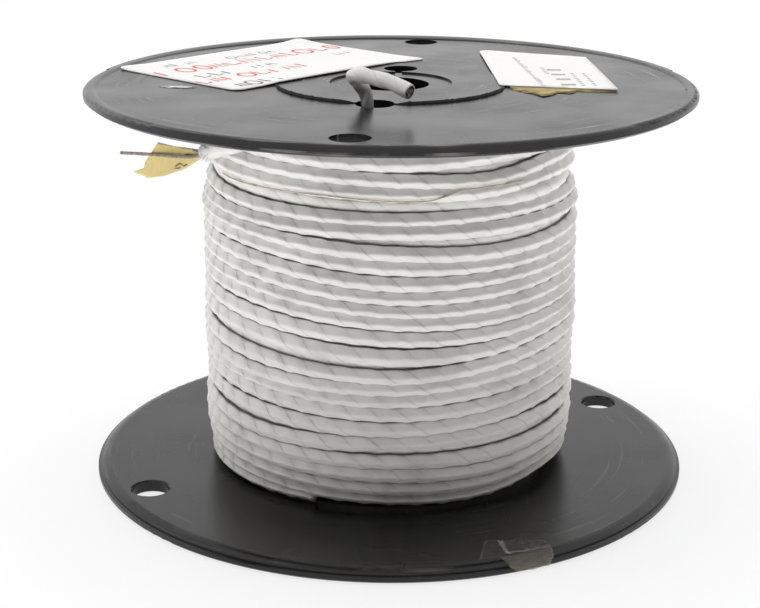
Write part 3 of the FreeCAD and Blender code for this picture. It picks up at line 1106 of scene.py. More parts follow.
@dataclass
class CableEnd:
    """A free end of the cable: the wrapped jacket, cut across, and the layers that show in the cut."""

    name: str
    route: tuple[tuple[float, float, float], ...]
    first_out: tuple[float, float, float]
    diameter: float = 4.1
    bore: float = 1.6
    bore_depth: float = 4.0
    step: float = 0.5
    sides: int = 32
    lap_mm: float = 6.8
    lap_rise: float = 0.3
    neck: float = 1.0
    body: float = 1.0
    neck_run: float = 9.0
    body_share: float = 0.4
    fray: Fray | None = None

    def build(self, finishes: Finishes, extra: Sequence[MeshObject] = ()) -> MeshObject:
        """Args:
            finishes: The scene's materials.
            extra: Other pieces that go with this end.

        Returns:
            The jacket.
        """
        line = even_points(route_line(f"{self.name}_line", self.route), self.step * MM)
        rings = line_stations(line, self.diameter / 2 * MM, Vector(self.first_out))
        for ring in rings:
            beyond = max(ring.along / (self.neck_run * MM) - 1.0, 0.0)
            size = self.neck + (self.body - self.neck) * smooth_step(beyond / self.body_share)
            ring.half_out *= size
            ring.half_down *= size
        swell = spiral_swell(self.lap_mm, self.lap_rise)
        mesh = tube_mesh(f"{self.name}_cable", rings, self.sides, swell, self.bore, self.bore_depth)
        jacket = new_object(f"{self.name}_cable", mesh, finishes.jacket)
        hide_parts(f"{self.name}_jacket")
        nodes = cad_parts
        layers = {
            f"{self.name}_braid": finishes.braid,
            f"{self.name}_insulation": finishes.insulation,
            f"{self.name}_strands": finishes.copper,
        }
        for node, material in layers.items():
            dress(nodes[node], material)
        pieces = [nodes[node] for node in layers] + list(extra)
        if self.fray:
            ahead = (line[-1] - line[-2]).normalized()
            pieces.append(self.fray.build(f"{self.name}_fray", rings[-1], ahead, finishes))
        length = sum((end - start).length for start, end in zip(line, line[1:]))
        tuple(line[0])
        [tuple(point) for point in line]
        return jacket


@dataclass
class DrainWire:
    """Bare stranded wire: thin strands laid together in a long spiral."""

    route: tuple[tuple[float, float, float], ...] = (
        (-44.088, -35.023, 95.993),
        (-49.104, -32.187, 94.321),
        (-54.638, -30.216, 93.894),
        (-62.038, -26.416, 93.794),
        (-70.038, -22.816, 93.294),
    )
    strands: int = 7
    strand_d: float = 0.3
    lay_mm: float = 9.0
    step: float = 0.3
    sides: int = 8

    def build(self, finishes: Finishes) -> MeshObject:
        """Make the wire as one mesh of strands round a middle one.

        Args:
            finishes: The scene's materials.

        Returns:
            The wire.
        """
        line = even_points(route_line("drain_line", self.route), self.step * MM)
        rings = line_stations(line, self.strand_d / 2 * MM, UP)
        rows = []
        for strand in range(self.strands):
            reach = 0.0 if strand == 0 else self.strand_d * MM
            start = 2 * math.pi * strand / (self.strands - 1)
            centres = []
            for ring in rings:
                turn = start + 2 * math.pi * ring.along / (self.lay_mm * MM)
                out, down = ring.out * (reach * math.cos(turn)), ring.down * (reach * math.sin(turn))
                centres.append(ring.centre + out + down)
            rows.append(line_stations(centres, self.strand_d / 2 * MM, UP))
        mesh = joined_tubes("outer_tail_drain", rows, self.sides)
        wire = new_object("outer_tail_drain", mesh, finishes.tinned)
        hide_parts("outer_tail_drain_wire")
        return wire


def dress(piece: MeshObject, material: Material) -> MeshObject:
    """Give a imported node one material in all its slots."""
    piece.data.materials.clear()
    piece.data.materials.append(material)
    return piece


def sheet_mesh(name: str, outline: Outline, place: Placer, cut: float) -> Mesh:
    """Thin sheet filled with even faces inside an outline and laid on a surface.

    Args:
        name: The mesh's name.
        outline: Corners, in millimetres.
        place: Where a point of the flat sheet goes, in metres.
        cut: Largest length of an edge, in millimetres.

    Returns:
        The mesh.
    """
    whole = bmesh.new()
    whole.faces.new([whole.verts.new((x, y, 0)) for x, y in outline])
    lows = [min(p[axis] for p in outline) for axis in (0, 1)]
    highs = [max(p[axis] for p in outline) for axis in (0, 1)]
    for axis in (0, 1):
        steps = int((highs[axis] - lows[axis]) / cut)
        for step in range(1, steps + 1):
            spot = [0.0, 0.0, 0.0]
            spot[axis] = lows[axis] + (highs[axis] - lows[axis]) * step / (steps + 1)
            way = [0.0, 0.0, 0.0]
            way[axis] = 1.0
            geometry = whole.verts[:] + whole.edges[:] + whole.faces[:]
            bmesh.ops.bisect_plane(whole, geom=geometry, plane_co=spot, plane_no=way)
    for vertex in whole.verts:
        vertex.co = place(vertex.co.x, vertex.co.y)
    return finished_mesh(name, whole)


def thicken(piece: MeshObject, thickness_mm: float, offset: float = -1.0) -> None:
    """Give a sheet its thickness with a modifier."""
    modifier = piece.modifiers.new("thickness", "SOLIDIFY")
    modifier.thickness = thickness_mm * MM
    modifier.offset = offset


def rounded_outline(corners: Outline, radii: Sequence[float], steps: int = 6) -> list[tuple[float, float]]:
    """Outline with its corners rounded.

    Args:
        corners: The sharp corners.
        radii: A radius for each.
        steps: Points in each rounded corner.

    Returns:
        The outline.
    """
    found = []
    count = len(corners)
    for index, radius in enumerate(radii):
        here = Vector(corners[index])
        back = (Vector(corners[index - 1]) - here).normalized()
        ahead = (Vector(corners[(index + 1) % count]) - here).normalized()
        if radius <= 0:
            found.append((here.x, here.y))
            continue
        half = back.angle(ahead) / 2
        leg = radius / math.tan(half)
        middle = here + (back + ahead).normalized() * (radius / math.sin(half))
        start, end = here + back * leg - middle, here + ahead * leg - middle
        sweep = start.angle_signed(end)
        for step in range(steps + 1):
            turn = -sweep * step / steps
            spot = middle + Matrix.Rotation(turn, 2) @ start
            found.append((spot.x, spot.y))
    return found


@dataclass
class PenStroke:
    """One stroke of a pen: points on the label, in millimetres, and the line's width."""

    points: list[tuple[float, float]]
    width: float


def stroke_mesh(name: str, strokes: Sequence[PenStroke], place: Placer) -> Mesh:
    """Flat ribbons for pen strokes, just above a sheet.

    Args:
        name: The mesh's name.
        strokes: The strokes.
        place: Where a point of the flat sheet goes, in metres, raised by the ink's thickness.

    Returns:
        The mesh.
    """
    points: list[Vector] = []
    faces = []
    for stroke in strokes:
        spots = [Vector(point) for point in stroke.points]
        base = len(points)
        for index, spot in enumerate(spots):
            ahead = (spots[min(index + 1, len(spots) - 1)] - spots[max(index - 1, 0)]).normalized()
            side = Vector((-ahead.y, ahead.x)) * stroke.width / 2
            for edge in (spot + side, spot - side):
                points.append(place(edge.x, edge.y))
        for index in range(len(spots) - 1):
            first = base + 2 * index
            faces.append((first, first + 1, first + 3, first + 2))
    return plain_mesh(name, points, faces)


def scribble(
    seed: int, start: tuple[float, float], length: float, height: float, width: float
) -> list[PenStroke]:
    """A line of quick pen marks that spell nothing.

    Args:
        seed: Seed for the marks.
        start: Where the line starts, in millimetres.
        length: Length of the line.
        height: Height of the marks.
        width: Width of the pen.

    Returns:
        The strokes.
    """
    chance = random.Random(seed)
    strokes = []
    across = start[0]
    while across < start[0] + length:
        span = height * chance.uniform(0.45, 0.85)
        kind = chance.choice(("loop", "zigzag", "bar", "hook"))
        low, high = start[1], start[1] + height * chance.uniform(0.75, 1.1)
        if kind == "loop":
            steps, lean = 14, 1.2
            turns = [turn / steps * 2 * math.pi + lean for turn in range(steps + 1)]
            x, y, half_width, half_height = across + span / 2, (low + high) / 2, span / 2, (high - low) / 2
            spots = [(x + half_width * math.cos(turn), y + half_height * math.sin(turn)) for turn in turns]
        elif kind == "zigzag":
            spots = []
            for corner in range(5):
                x = across + span * corner / 4 + chance.uniform(-0.2, 0.2)
                spots.append((x, high if corner % 2 else low + chance.uniform(0, 0.8)))
        elif kind == "bar":
            spots = [(across, low), (across + span * 0.1, high)]
        else:
            spots = [(across, high), (across + span * 0.15, low), (across + span, low + 0.2 * height)]
        strokes.append(PenStroke(spots, width))
        across += span + height * chance.uniform(0.18, 0.4)
    return strokes


@dataclass
class HandwrittenLabel:
    """Large white paper label on the hub cap, the flange and the rim, with its front edge a little raised.

    The hub and the rim each have the radius where the paper starts to climb, the run and the climb.
    """

    width: float = 72.0
    height: float = 50.0
    corner: float = 3.0
    centre: tuple[float, float] = (-33.8, 29.75)
    angle: float = 46.5
    thickness: float = 0.22
    cut: float = 2.5
    ink: float = 0.03
    web: float = 107.62
    hub: tuple[float, float, float] = (33.5, 3.0, 0.26)
    rim: tuple[float, float, float] = (74.5, 3.5, 0.3)
    pull: float = 2.4
    pull_reach: float = 14.0
    front_curl: float = 0.25
    corner_curl: float = 0.55
    wave: float = 0.06
    red_lines: tuple[PenLine, ...] = ((5, (-34, 5.2), 66, 6.4, 0.95), (8, (-35, -11.8), 42, 5.6, 0.9))
    black_lines: tuple[PenLine, ...] = (
        (11, (-29, -4.4), 13, 5.0, 0.85),
        (12, (-8, -2.6), 6, 3.2, 0.5),
        (13, (-31, -22.6), 19, 5.2, 0.8),
        (14, (-25, 15.0), 8, 4.4, 0.45),
        (15, (-3, 13.6), 17, 3.4, 0.4),
        (16, (24, -3.4), 5, 3.2, 0.4),
    )

    def place(self, across: float, up: float, lift: float = 0.0) -> Vector:
        """Where a point of the flat label goes.

        Args:
            across: Distance from its middle along the long side.
            up: Distance from its middle along the short side.
            lift: Height above the paper.

        Returns:
            The point in metres.
        """
        angle = math.radians(self.angle)
        x = self.centre[0] + across * math.cos(angle) - up * math.sin(angle)
        y = self.centre[1] + across * math.sin(angle) + up * math.cos(angle)
        from_corner = math.hypot(across - self.width / 2, up + self.height / 2)
        x += self.pull * max(0.0, 1 - from_corner / self.pull_reach) ** 2
        reach = math.hypot(x, y)
        (hub_edge, hub_run, hub_climb), (rim_edge, rim_run, rim_climb) = self.hub, self.rim
        level = self.web + hub_climb * smooth_step((hub_edge - reach) / hub_run)
        level += rim_climb * smooth_step((reach - rim_edge) / rim_run)
        # The front edge curls most left of its middle, and so does the far right corner.
        near, middle = max(0.0, (-up - 8) / 17) ** 2, max(0.0, 1 - ((across + 6) / 34) ** 2)
        curl = self.front_curl * near * middle + self.corner_curl * max(0.0, (across + up - 44) / 17) ** 2
        wave = self.wave * (1 + noise.noise(Vector((across * 0.05, up * 0.07, 3.0))))
        return Vector((x, y, level + self.thickness + curl + wave + lift)) * MM

    def build(self, finishes: Finishes) -> list[MeshObject]:
        """Make the label and its pen marks.

        Args:
            finishes: The scene's materials.

        Returns:
            The label, then its red and black marks.
        """
        half_w, half_h = self.width / 2, self.height / 2
        sharp = [(-half_w, -half_h), (half_w, -half_h), (half_w, half_h), (-half_w, half_h)]
        mesh = sheet_mesh("label_written", rounded_outline(sharp, [self.corner] * 4), self.place, self.cut)
        label = new_object("label_written", mesh, finishes.paper)
        thicken(label, self.thickness)
        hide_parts("handwritten_label")

        def inked(across: float, up: float) -> Vector:
            """Place of ink on the paper."""
            return self.place(across, up, self.ink)

        marks = []
        inks = {
            "marks_red": (self.red_lines, finishes.ink_red),
            "marks_black": (self.black_lines, finishes.ink_black),
        }
        for name, (lines, material) in inks.items():
            strokes = [stroke for line in lines for stroke in scribble(*line)]
            marks.append(new_object(name, stroke_mesh(name, strokes, inked), material))
        return [label, *marks]


@dataclass
class PrintedLabel:
    """Small printed label on its torn card: faint print, four bars and rows of plain ticks."""

    corners: tuple[tuple[float, float], ...] = ((27.0, 53.0), (28.9, -6.1), (59.6, -12.6), (57.5, 40.2))
    radii: tuple[float, ...] = (2.2, 2.2, 0.4, 1.2)
    rest: float = 107.85
    thickness: float = 0.25
    wave: float = 0.1
    cut: float = 3.0
    ink: float = 0.03
    bars: tuple[tuple[float, float], ...] = ((43.8, 17.2), (44.2, 9.9), (44.8, 2.5), (45.3, -5.4))
    bar_size: tuple[float, float] = (3.9, 2.4)
    lines: tuple[tuple[float, float], tuple[float, float]] = ((35.8, 38.4), (39.8, -6.8))
    line_count: int = 26
    line_pen: float = 0.75
    notes: range = range(10, 16)
    note_ends: tuple[tuple[float, float], tuple[float, float]] = ((4.6, 0), (5.7, 0.3))
    note_pen: float = 0.7
    tick_rows: tuple[tuple[tuple[float, float], tuple[float, float]], ...] = (
        ((50.0, 11.6), (51.1, -6.4)),
        ((53.3, 11.2), (54.3, -6.2)),
    )
    tick_count: int = 8
    tick_half: float = 0.45
    tick_pen: float = 1.2

    def place(self, x: float, y: float, lift: float = 0.0) -> Vector:
        """Where a point of the flat label goes, in metres."""
        wave = self.wave * (1 + noise.noise(Vector((x * 0.06, y * 0.06, 8.0))))
        return Vector((x, y, self.rest + self.thickness + wave + lift)) * MM

    def print_strokes(self) -> list[PenStroke]:
        """Make the print: short lines down the left side, the bars, and two rows of ticks.

        Returns:
            The strokes.
        """
        chance = random.Random(21)
        strokes = []
        top, bottom = map(Vector, self.lines)
        for row in range(self.line_count):
            start = top.lerp(bottom, row / (self.line_count - 1))
            across = Vector((chance.uniform(0.7, 1.5), chance.uniform(-0.3, 0.3)))
            strokes.append(PenStroke([tuple(start), tuple(start + across)], self.line_pen))
            if row in self.notes:
                ends = [tuple(start + Vector(end)) for end in self.note_ends]
                strokes.append(PenStroke(ends, self.note_pen))
        length, pen = self.bar_size
        strokes += [PenStroke([(x, y), (x + length, y)], pen) for x, y in self.bars]
        for tick in range(self.tick_count):
            for first, last in self.tick_rows:
                spot = Vector(first).lerp(Vector(last), tick / (self.tick_count - 1))
                half = Vector((self.tick_half, chance.uniform(-0.3, 0.3)))
                strokes.append(PenStroke([tuple(spot - half), tuple(spot + half)], self.tick_pen))
        return strokes

    def build(self, finishes: Finishes) -> list[MeshObject]:
        """Make the label and its print.

        Args:
            finishes: The scene's materials.

        Returns:
            The label and its print.
        """
        mesh = sheet_mesh("label_printed", rounded_outline(self.corners, self.radii), self.place, self.cut)
        label = new_object("label_printed", mesh, finishes.paper)
        thicken(label, self.thickness)
        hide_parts("printed_label")

        def printed(x: float, y: float) -> Vector:
            """Place of print on the paper."""
            return self.place(x, y, self.ink)

        print_mesh = stroke_mesh("label_print", self.print_strokes(), printed)
        return [label, new_object("label_print", print_mesh, finishes.print_grey)]


@dataclass
class TornCard:
    """Card left under the printed label: three plies whose front edges are torn at different lines."""

    corners: tuple[tuple[float, float], ...] = (
        (31.6, -4.0), (31.9, -10.4), (34.8, -14.2), (37.1, -16.6), (39.3, -20.6), (41.4, -18.6),
        (43.6, -14.9), (46.8, -16.0), (48.6, -12.9), (58.8, -12.9), (57.8, 12.0), (35.0, 12.0),
    )
    low: float = 107.61
    ply: float = 0.08
    cut: float = 2.5
    plies: int = 3
    step_back: float = 0.5
    torn_below: float = 5.0
    tear_step: float = 0.7
    tear: tuple[float, float] = (0.3, 0.35)
    curl: float = 0.2
    curl_line: float = -13.0
    curl_run: float = 7.0

    def torn_outline(self, number: int) -> Outline:
        """Outline of one ply, ragged where it is torn.

        Args:
            number: The ply's number, from the lowest.

        Returns:
            The outline.
        """
        chance = random.Random(40 + number)
        outline = []
        side_tear, tear = self.tear
        for start, end in zip(self.corners, self.corners[1:] + self.corners[:1]):
            steps = max(2, int((Vector(end) - Vector(start)).length / self.tear_step))
            for step in range(steps):
                spot = Vector(start).lerp(Vector(end), step / steps)
                if max(start[1], end[1]) < self.torn_below:
                    ragged = (chance.uniform(-side_tear, side_tear), chance.uniform(-tear, tear))
                    spot += Vector(ragged) + Vector((0.0, self.step_back * number))
                outline.append((spot.x, spot.y))
        return outline

    def build(self, finishes: Finishes) -> list[MeshObject]:
        """Make the plies.

        Args:
            finishes: The scene's materials.

        Returns:
            The plies, from the lowest.
        """
        plies = []
        for number in range(self.plies):
            top = self.low + self.ply * (number + 1)

            def place(x: float, y: float, top: float = top) -> Vector:
                """Where a point of the ply goes."""
                return Vector((x, y, top + self.curl * max(0.0, (self.curl_line - y) / self.curl_run))) * MM

            mesh = sheet_mesh(f"card_ply_{number}", self.torn_outline(number), place, self.cut)
            ply = new_object(f"card_ply_{number}", mesh, finishes.card)
            thicken(ply, self.ply)
            plies.append(ply)
        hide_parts("torn_label_backing")
        return plies


@dataclass
class MaskingFlag:
    """Strip of masking tape hanging as a flag behind the drain wire, with traces of a pen; its fold is not
    made.
    """

    origin: tuple[float, float, float] = (-48.61, -33.20, 94.894)
    heading: float = 155.4
    thickness: float = 0.3
    behind: float = 1.3
    cut: float = 0.8
    ink: float = 0.03
    corners: tuple[tuple[float, float], ...] = (
        (12.7, 2.1), (8.5, 1.4), (3.5, 1.25), (1.8, 1.2), (0.4, 0.6), (0.2, -0.9), (5.4, -4.3),
        (11.4, -6.6), (16.1, -7.6), (20.8, -6.5), (17.3, -5.1), (16.8, -3.5), (14.5, -0.3),
    )
    marks: tuple[tuple[float, tuple[tuple[float, float], ...]], ...] = (
        (0.38, ((3.3, -1.1), (5.5, -1.4), (5.6, -0.8), (4.4, -0.35), (2.2, -0.5))),
        (0.42, ((7.9, -3.8), (7.0, -3.0), (6.2, -3.0), (5.6, -3.5), (4.6, -2.9))),
        (0.3, ((8.3, -4.3), (7.2, -4.2), (6.5, -3.9))),
        (0.5, ((2.9, 1.0), (1.8, 0.95), (0.8, 0.6))),
    )

    def place(self, way: float, height: float, lift: float = 0.0) -> Vector:
        """Where a point of the flat tape goes, in metres.

        Args:
            way: Distance from the cable's end.
            height: Height above the wire.
            lift: Distance nearer to the wire.

        Returns:
            The point.
        """
        along = Vector((math.cos(math.radians(self.heading)), math.sin(math.radians(self.heading)), 0))
        behind = along.cross(UP)
        bow = 0.3 * math.sin(way * 0.35) + 0.25 * noise.noise(Vector((way * 0.2, height * 0.25, 1.0)))
        return (Vector(self.origin) + along * way + UP * height + behind * (self.behind + bow - lift)) * MM

    def build(self, finishes: Finishes) -> list[MeshObject]:
        """Make the flag and its pen marks.

        Args:
            finishes: The scene's materials.

        Returns:
            The flag and the marks.
        """
        mesh = sheet_mesh("tape_flag", self.corners, self.place, self.cut)
        flag = new_object("tape_flag", mesh, finishes.masking)
        thicken(flag, self.thickness, 0.0)
        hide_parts("masking_tape_flag")
        strokes = [PenStroke(list(points), pen) for pen, points in self.marks]

        def inked(way: float, height: float) -> Vector:
            """Place of ink on the tape."""
            return self.place(way, height, self.thickness / 2 + self.ink)

        marks = new_object("tape_marks", stroke_mesh("tape_marks", strokes, inked), finishes.ink_black)
        return [flag, marks]


@dataclass
class ClearTape:
    """Torn piece of clear tape on the lower flange, creased and folded down over its edge.

    Each crease has its two ends and its width at each of them.
    """

    front: float = 65.4
    rim: float = 78.9
    edge: float = 82.6
    rest: float = 3.55
    drop: float = 2.6
    left: float = -70.4
    right: float = -59.8
    slant_left: float = 4.0
    slant_right: float = 2.4
    fold_start: float = -70.9
    fold_run: float = 3.5
    shoulder_drop: float = 0.95
    shoulder_run: float = 3.6
    ruck: float = 0.3
    gap_out: float = 0.05
    gap_up: float = 0.06
    clear: float = 0.14
    rows: int = 64
    columns: int = 60
    half_width: float = 16.0
    border: float = 0.3
    crease_haze: float = 0.5
    rim_haze: float = 0.26
    end_haze: float = 0.3
    creases: tuple[tuple[float, ...], ...] = (
        (27.1, -65.5, 28.3, -72.4, 1.1, 0.5),
        (28.3, -72.4, 33.4, -71.2, 0.8, 0.1),
        (33.0, -71.0, 39.6, -68.6, 0.15, 0.1),
    )

    def haze(self, x: float, y: float, fall: float, border: float) -> float:
        """How much the film shows at a point.

        Args:
            x: Where the point is on the flange.
            y: Where the point is on the flange.
            fall: How far it has gone over the edge.
            border: Distance from the tape's own edge.

        Returns:
            Its opacity.
        """
        shown = 0.05 + 0.05 * noise.noise(Vector((x * 0.3, y * 0.3, 2.0)))
        if border < self.border:
            shown = 0.22 + 0.25 * noise.noise(Vector((x * 0.8, y * 0.8, 7.0)))
        for x0, y0, x1, y1, wide, narrow in self.creases:
            start, run = Vector((x0, y0)), Vector((x1 - x0, y1 - y0))
            share = clamped((Vector((x, y)) - start).dot(run) / run.length_squared)
            half = (wide + (narrow - wide) * share) / 2 + 0.15
            if (Vector((x, y)) - start - run * share).length < half:
                shown = self.crease_haze
        over = clamped((math.hypot(x, y) - self.rim - 0.4) / 1.2)
        end = self.end_haze if fall > 0.82 * self.drop else 0.0
        return max(shown, self.rim_haze * over, 0.0) + end

    def point(self, share: float, side: float) -> tuple[Vector, float]:
        """One point of the tape.

        Args:
            share: Share of the way from its front edge to its far end.
            side: Share of the way from its left edge to its right.

        Returns:
            The point in metres and its haze.
        """
        left, right = self.left - self.slant_left * share, self.right - self.slant_right * share * share
        angle = math.radians(left + (right - left) * side)
        column = side * self.columns
        inner = self.front / abs(math.sin(angle)) + 0.25 * noise.noise(Vector((column * 0.4, 0.0, 5.0)))
        folded = clamped((math.degrees(angle) - self.fold_start) / self.fold_run)
        drop = self.drop * folded * (0.85 + 0.2 * noise.noise(Vector((column * 0.12, 1.0, 9.0))))
        run = (self.rim + (self.edge - self.rim) * min(folded * 3, 1.0) - inner + drop) * share
        flat = self.edge - inner
        reach, fall = inner + min(run, flat), max(0.0, run - flat)
        rolled = clamped((reach - self.edge + self.shoulder_run) / self.shoulder_run)
        ruck = self.ruck * abs(noise.noise(Vector((reach * 0.35, angle * 22, 2.0)))) * (1 - min(1, fall))
        clear = self.clear * clamped(reach - self.rim + 0.4)
        height = self.rest + self.gap_up + clear + ruck - rolled ** 2 * self.shoulder_drop - fall
        spot = polar_point(reach + self.gap_out + clear, angle, height)
        front = self.rim - reach if folded < 0.1 else 9.0
        border = min(run, front, side * self.half_width, (1 - side) * self.half_width)
        return spot, self.haze(spot.x / MM, spot.y / MM, fall, border)

    def build(self, finishes: Finishes) -> MeshObject:
        """Make the tape.

        Args:
            finishes: The scene's materials.

        Returns:
            The tape.
        """
        places = [
            self.point(row / self.rows, column / self.columns)
            for row in range(self.rows + 1)
            for column in range(self.columns + 1)
        ]
        width = self.columns + 1
        starts = [row * width + column for row in range(self.rows) for column in range(self.columns)]
        faces = [(start, start + 1, start + width + 1, start + width) for start in starts]
        mesh = plain_mesh("tape_clear", [point for point, _ in places], faces)
        set_attribute(mesh, "haze", "FLOAT", [haze for _, haze in places])
        tape = new_object("tape_clear", mesh, finishes.film)
        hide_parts("clear_tape")
        return tape


@dataclass
class BinderThread:
    """Thin tan thread that lies between two turns near the top and crosses one of them.

    Its path is a row of angles, heights and distances from the axis.
    """

    path: tuple[tuple[float, float, float], ...] = (
        (-152, 88.1, 49.7), (-140, 87.8, 49.8), (-125, 88.0, 49.9), (-110, 88.0, 49.9), (-98, 87.5, 49.9),
        (-86, 87.1, 50.0), (-80, 87.2, 50.1), (-75, 88.2, 50.25), (-70, 89.4, 50.2), (-60, 89.6, 50.0),
        (-48, 89.7, 49.9),
    )
    thickness: float = 0.34
    steps: int = 160
    sides: int = 8

    def build(self, finishes: Finishes) -> MeshObject:
        """Make the thread.

        Args:
            finishes: The scene's materials.

        Returns:
            The thread.
        """
        angles, heights, reaches = zip(*self.path)
        points = []
        for number in range(self.steps + 1):
            place = (len(self.path) - 1) * number / self.steps
            angle = math.radians(eased(angles, place))
            points.append(polar_point(eased(reaches, place), angle, eased(heights, place)))
        rings = line_stations(points, self.thickness / 2 * MM, UP)
        return new_object("binder_thread", tube_mesh("binder_thread", rings, self.sides), finishes.thread)


def swept_mesh(
    name: str,
    arcs: Sequence[tuple[float, float]],
    profile: Callable[[float, float], list[tuple[float, float]]],
    step_degrees: float = 0.6,
) -> Mesh:
    """A closed section swept about the reel's axis over some arcs.

    Args:
        name: The mesh's name.
        arcs: First and last angle of each arc, in degrees.
        profile: The section's radii and heights in millimetres, from the angle in radians and the
            share of the arc passed.
        step_degrees: Angle from one section to the next.

    Returns:
        The mesh.
    """
    points: list[Vector] = []
    faces: list[tuple[int, ...]] = []
    for start, end in arcs:
        steps = int((end - start) / step_degrees)
        base, count = len(points), 0
        for step in range(steps + 1):
            angle = math.radians(start + (end - start) * step / steps)
            section = profile(angle, step / steps)
            count = len(section)
            points += [polar_point(reach, angle, height) for reach, height in section]
        for step in range(steps):
            for side in range(count):
                here, after = base + count * step + side, base + count * step + (side + 1) % count
                faces.append((here, here + count, after + count, after))
        faces.append(tuple(base + side for side in range(count)))
        faces.append(tuple(base + count * steps + side for side in reversed(range(count))))
    return plain_mesh(name, points, faces)


@dataclass
class Reel:
    """The moulded reel itself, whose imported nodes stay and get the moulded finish.

    The weld bead has its height, its width and how rough both are.
    """

    nodes: tuple[str, ...] = (
        "lower_flange", "upper_flange", "lower_hub_cap", "upper_hub_cap", "barrel", "arbor_tube",
    )
    face: float = 107.85
    cap_radius: float = 30.7
    bead_height: float = 0.5
    bead_width: float = 0.5
    bead_rough: tuple[float, float] = (0.25, 0.12)
    flash_arcs: tuple[tuple[float, float], ...] = ((-174.0, -108.0), (-88.5, -14.0))
    crown_arc: tuple[float, float] = (14.0, 166.0)
    crown_low: float = 107.8
    crown_rise: float = 0.42
    scrap_centre: tuple[float, float] = (-56.4, -7.2)
    scrap_half: tuple[float, float] = (4.6, 1.6)
    scrap_lean: float = 0.6
    scrap_corners: int = 26
    scrap_level: float = 107.72
    scrap_thickness: float = 0.1

    def flash(self, finishes: Finishes) -> MeshObject:
        """Rough bead squeezed up where the hub cap was welded in, left standing round its front."""

        def profile(angle: float, share: float) -> list[tuple[float, float]]:
            """The bead's section, which dies away at the arc's ends."""
            rough = noise.noise(Vector((angle * 22, 2.0, 0.0)))
            rough += 0.5 * noise.noise(Vector((angle * 70, 2.0, 4.0)))
            rough_height, rough_width = self.bead_rough
            ends = min(1.0, share * 12, (1 - share) * 12)
            crest = self.face + (self.bead_height + rough_height * rough) * ends
            wide = self.cap_radius + self.bead_width + rough_width * rough
            return [
                (self.cap_radius - 0.35, self.face - 0.1),
                (wide - 0.3, crest),
                (wide - 0.15, crest - 0.02),
                (wide, self.face - 0.2),
                (wide, self.face - 0.3),
            ]

        mesh = swept_mesh("hub_cap_flash", self.flash_arcs, profile)
        bead = new_object("hub_cap_flash", mesh, finishes.weld)
        return bead

    def crown(self, finishes: Finishes) -> MeshObject:
        """The upper rim's back, which is fuller and stands a little higher than its front."""

        def profile(_: float, share: float) -> list[tuple[float, float]]:
            """The crown's section, fullest at the arc's middle."""
            full = max(0.0, math.sin(math.pi * share)) ** 0.7
            top = self.crown_low + self.crown_rise * full
            return [
                (78.6 - 1.3 * full, self.crown_low - 0.28),
                (78.8 - 0.9 * full, top - 0.36),
                (79.1 - 0.4 * full, top - 0.17),
                (79.8, top - 0.05),
                (80.7, top),
                (81.6, top - 0.01),
                (81.8, top - 0.15),
                (81.8, self.crown_low - 0.8),
            ]

        mesh = swept_mesh("upper_rim_crown", (self.crown_arc,), profile)
        crown = new_object("upper_rim_crown", mesh, finishes.reel)
        return crown

    def scrap(self, finishes: Finishes) -> MeshObject:
        """Thin scrap of paper and glue left stuck on the top flange."""
        chance = random.Random(77)
        (middle_x, middle_y), (half_x, half_y) = self.scrap_centre, self.scrap_half
        outline = []
        for corner in range(self.scrap_corners):
            turn = 2 * math.pi * corner / self.scrap_corners
            size = chance.uniform(0.75, 1.15)
            y = middle_y + half_y * size * math.sin(turn) - self.scrap_lean * math.cos(turn)
            outline.append((middle_x + half_x * size * math.cos(turn), y))

        def place(x: float, y: float) -> Vector:
            """Where a point of the scrap goes."""
            wave = 0.1 * noise.noise(Vector((x * 0.8, y * 0.8, 6.0)))
            return Vector((x, y, self.scrap_level + wave)) * MM

        piece = new_object("stuck_scrap", sheet_mesh("stuck_scrap", outline, place, 0.7), finishes.scrap)
        thicken(piece, self.scrap_thickness)
        return piece

    def build(self, finishes: Finishes) -> list[MeshObject]:
        """Dress the nodes and add the bead, the crown and the scrap.

        Args:
            finishes: The scene's materials.

        Returns:
            The nodes, the bead, the crown and the scrap.
        """
        dressed = [dress(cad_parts[node], finishes.reel) for node in self.nodes]
        return [*dressed, self.flash(finishes), self.crown(finishes), self.scrap(finishes)]


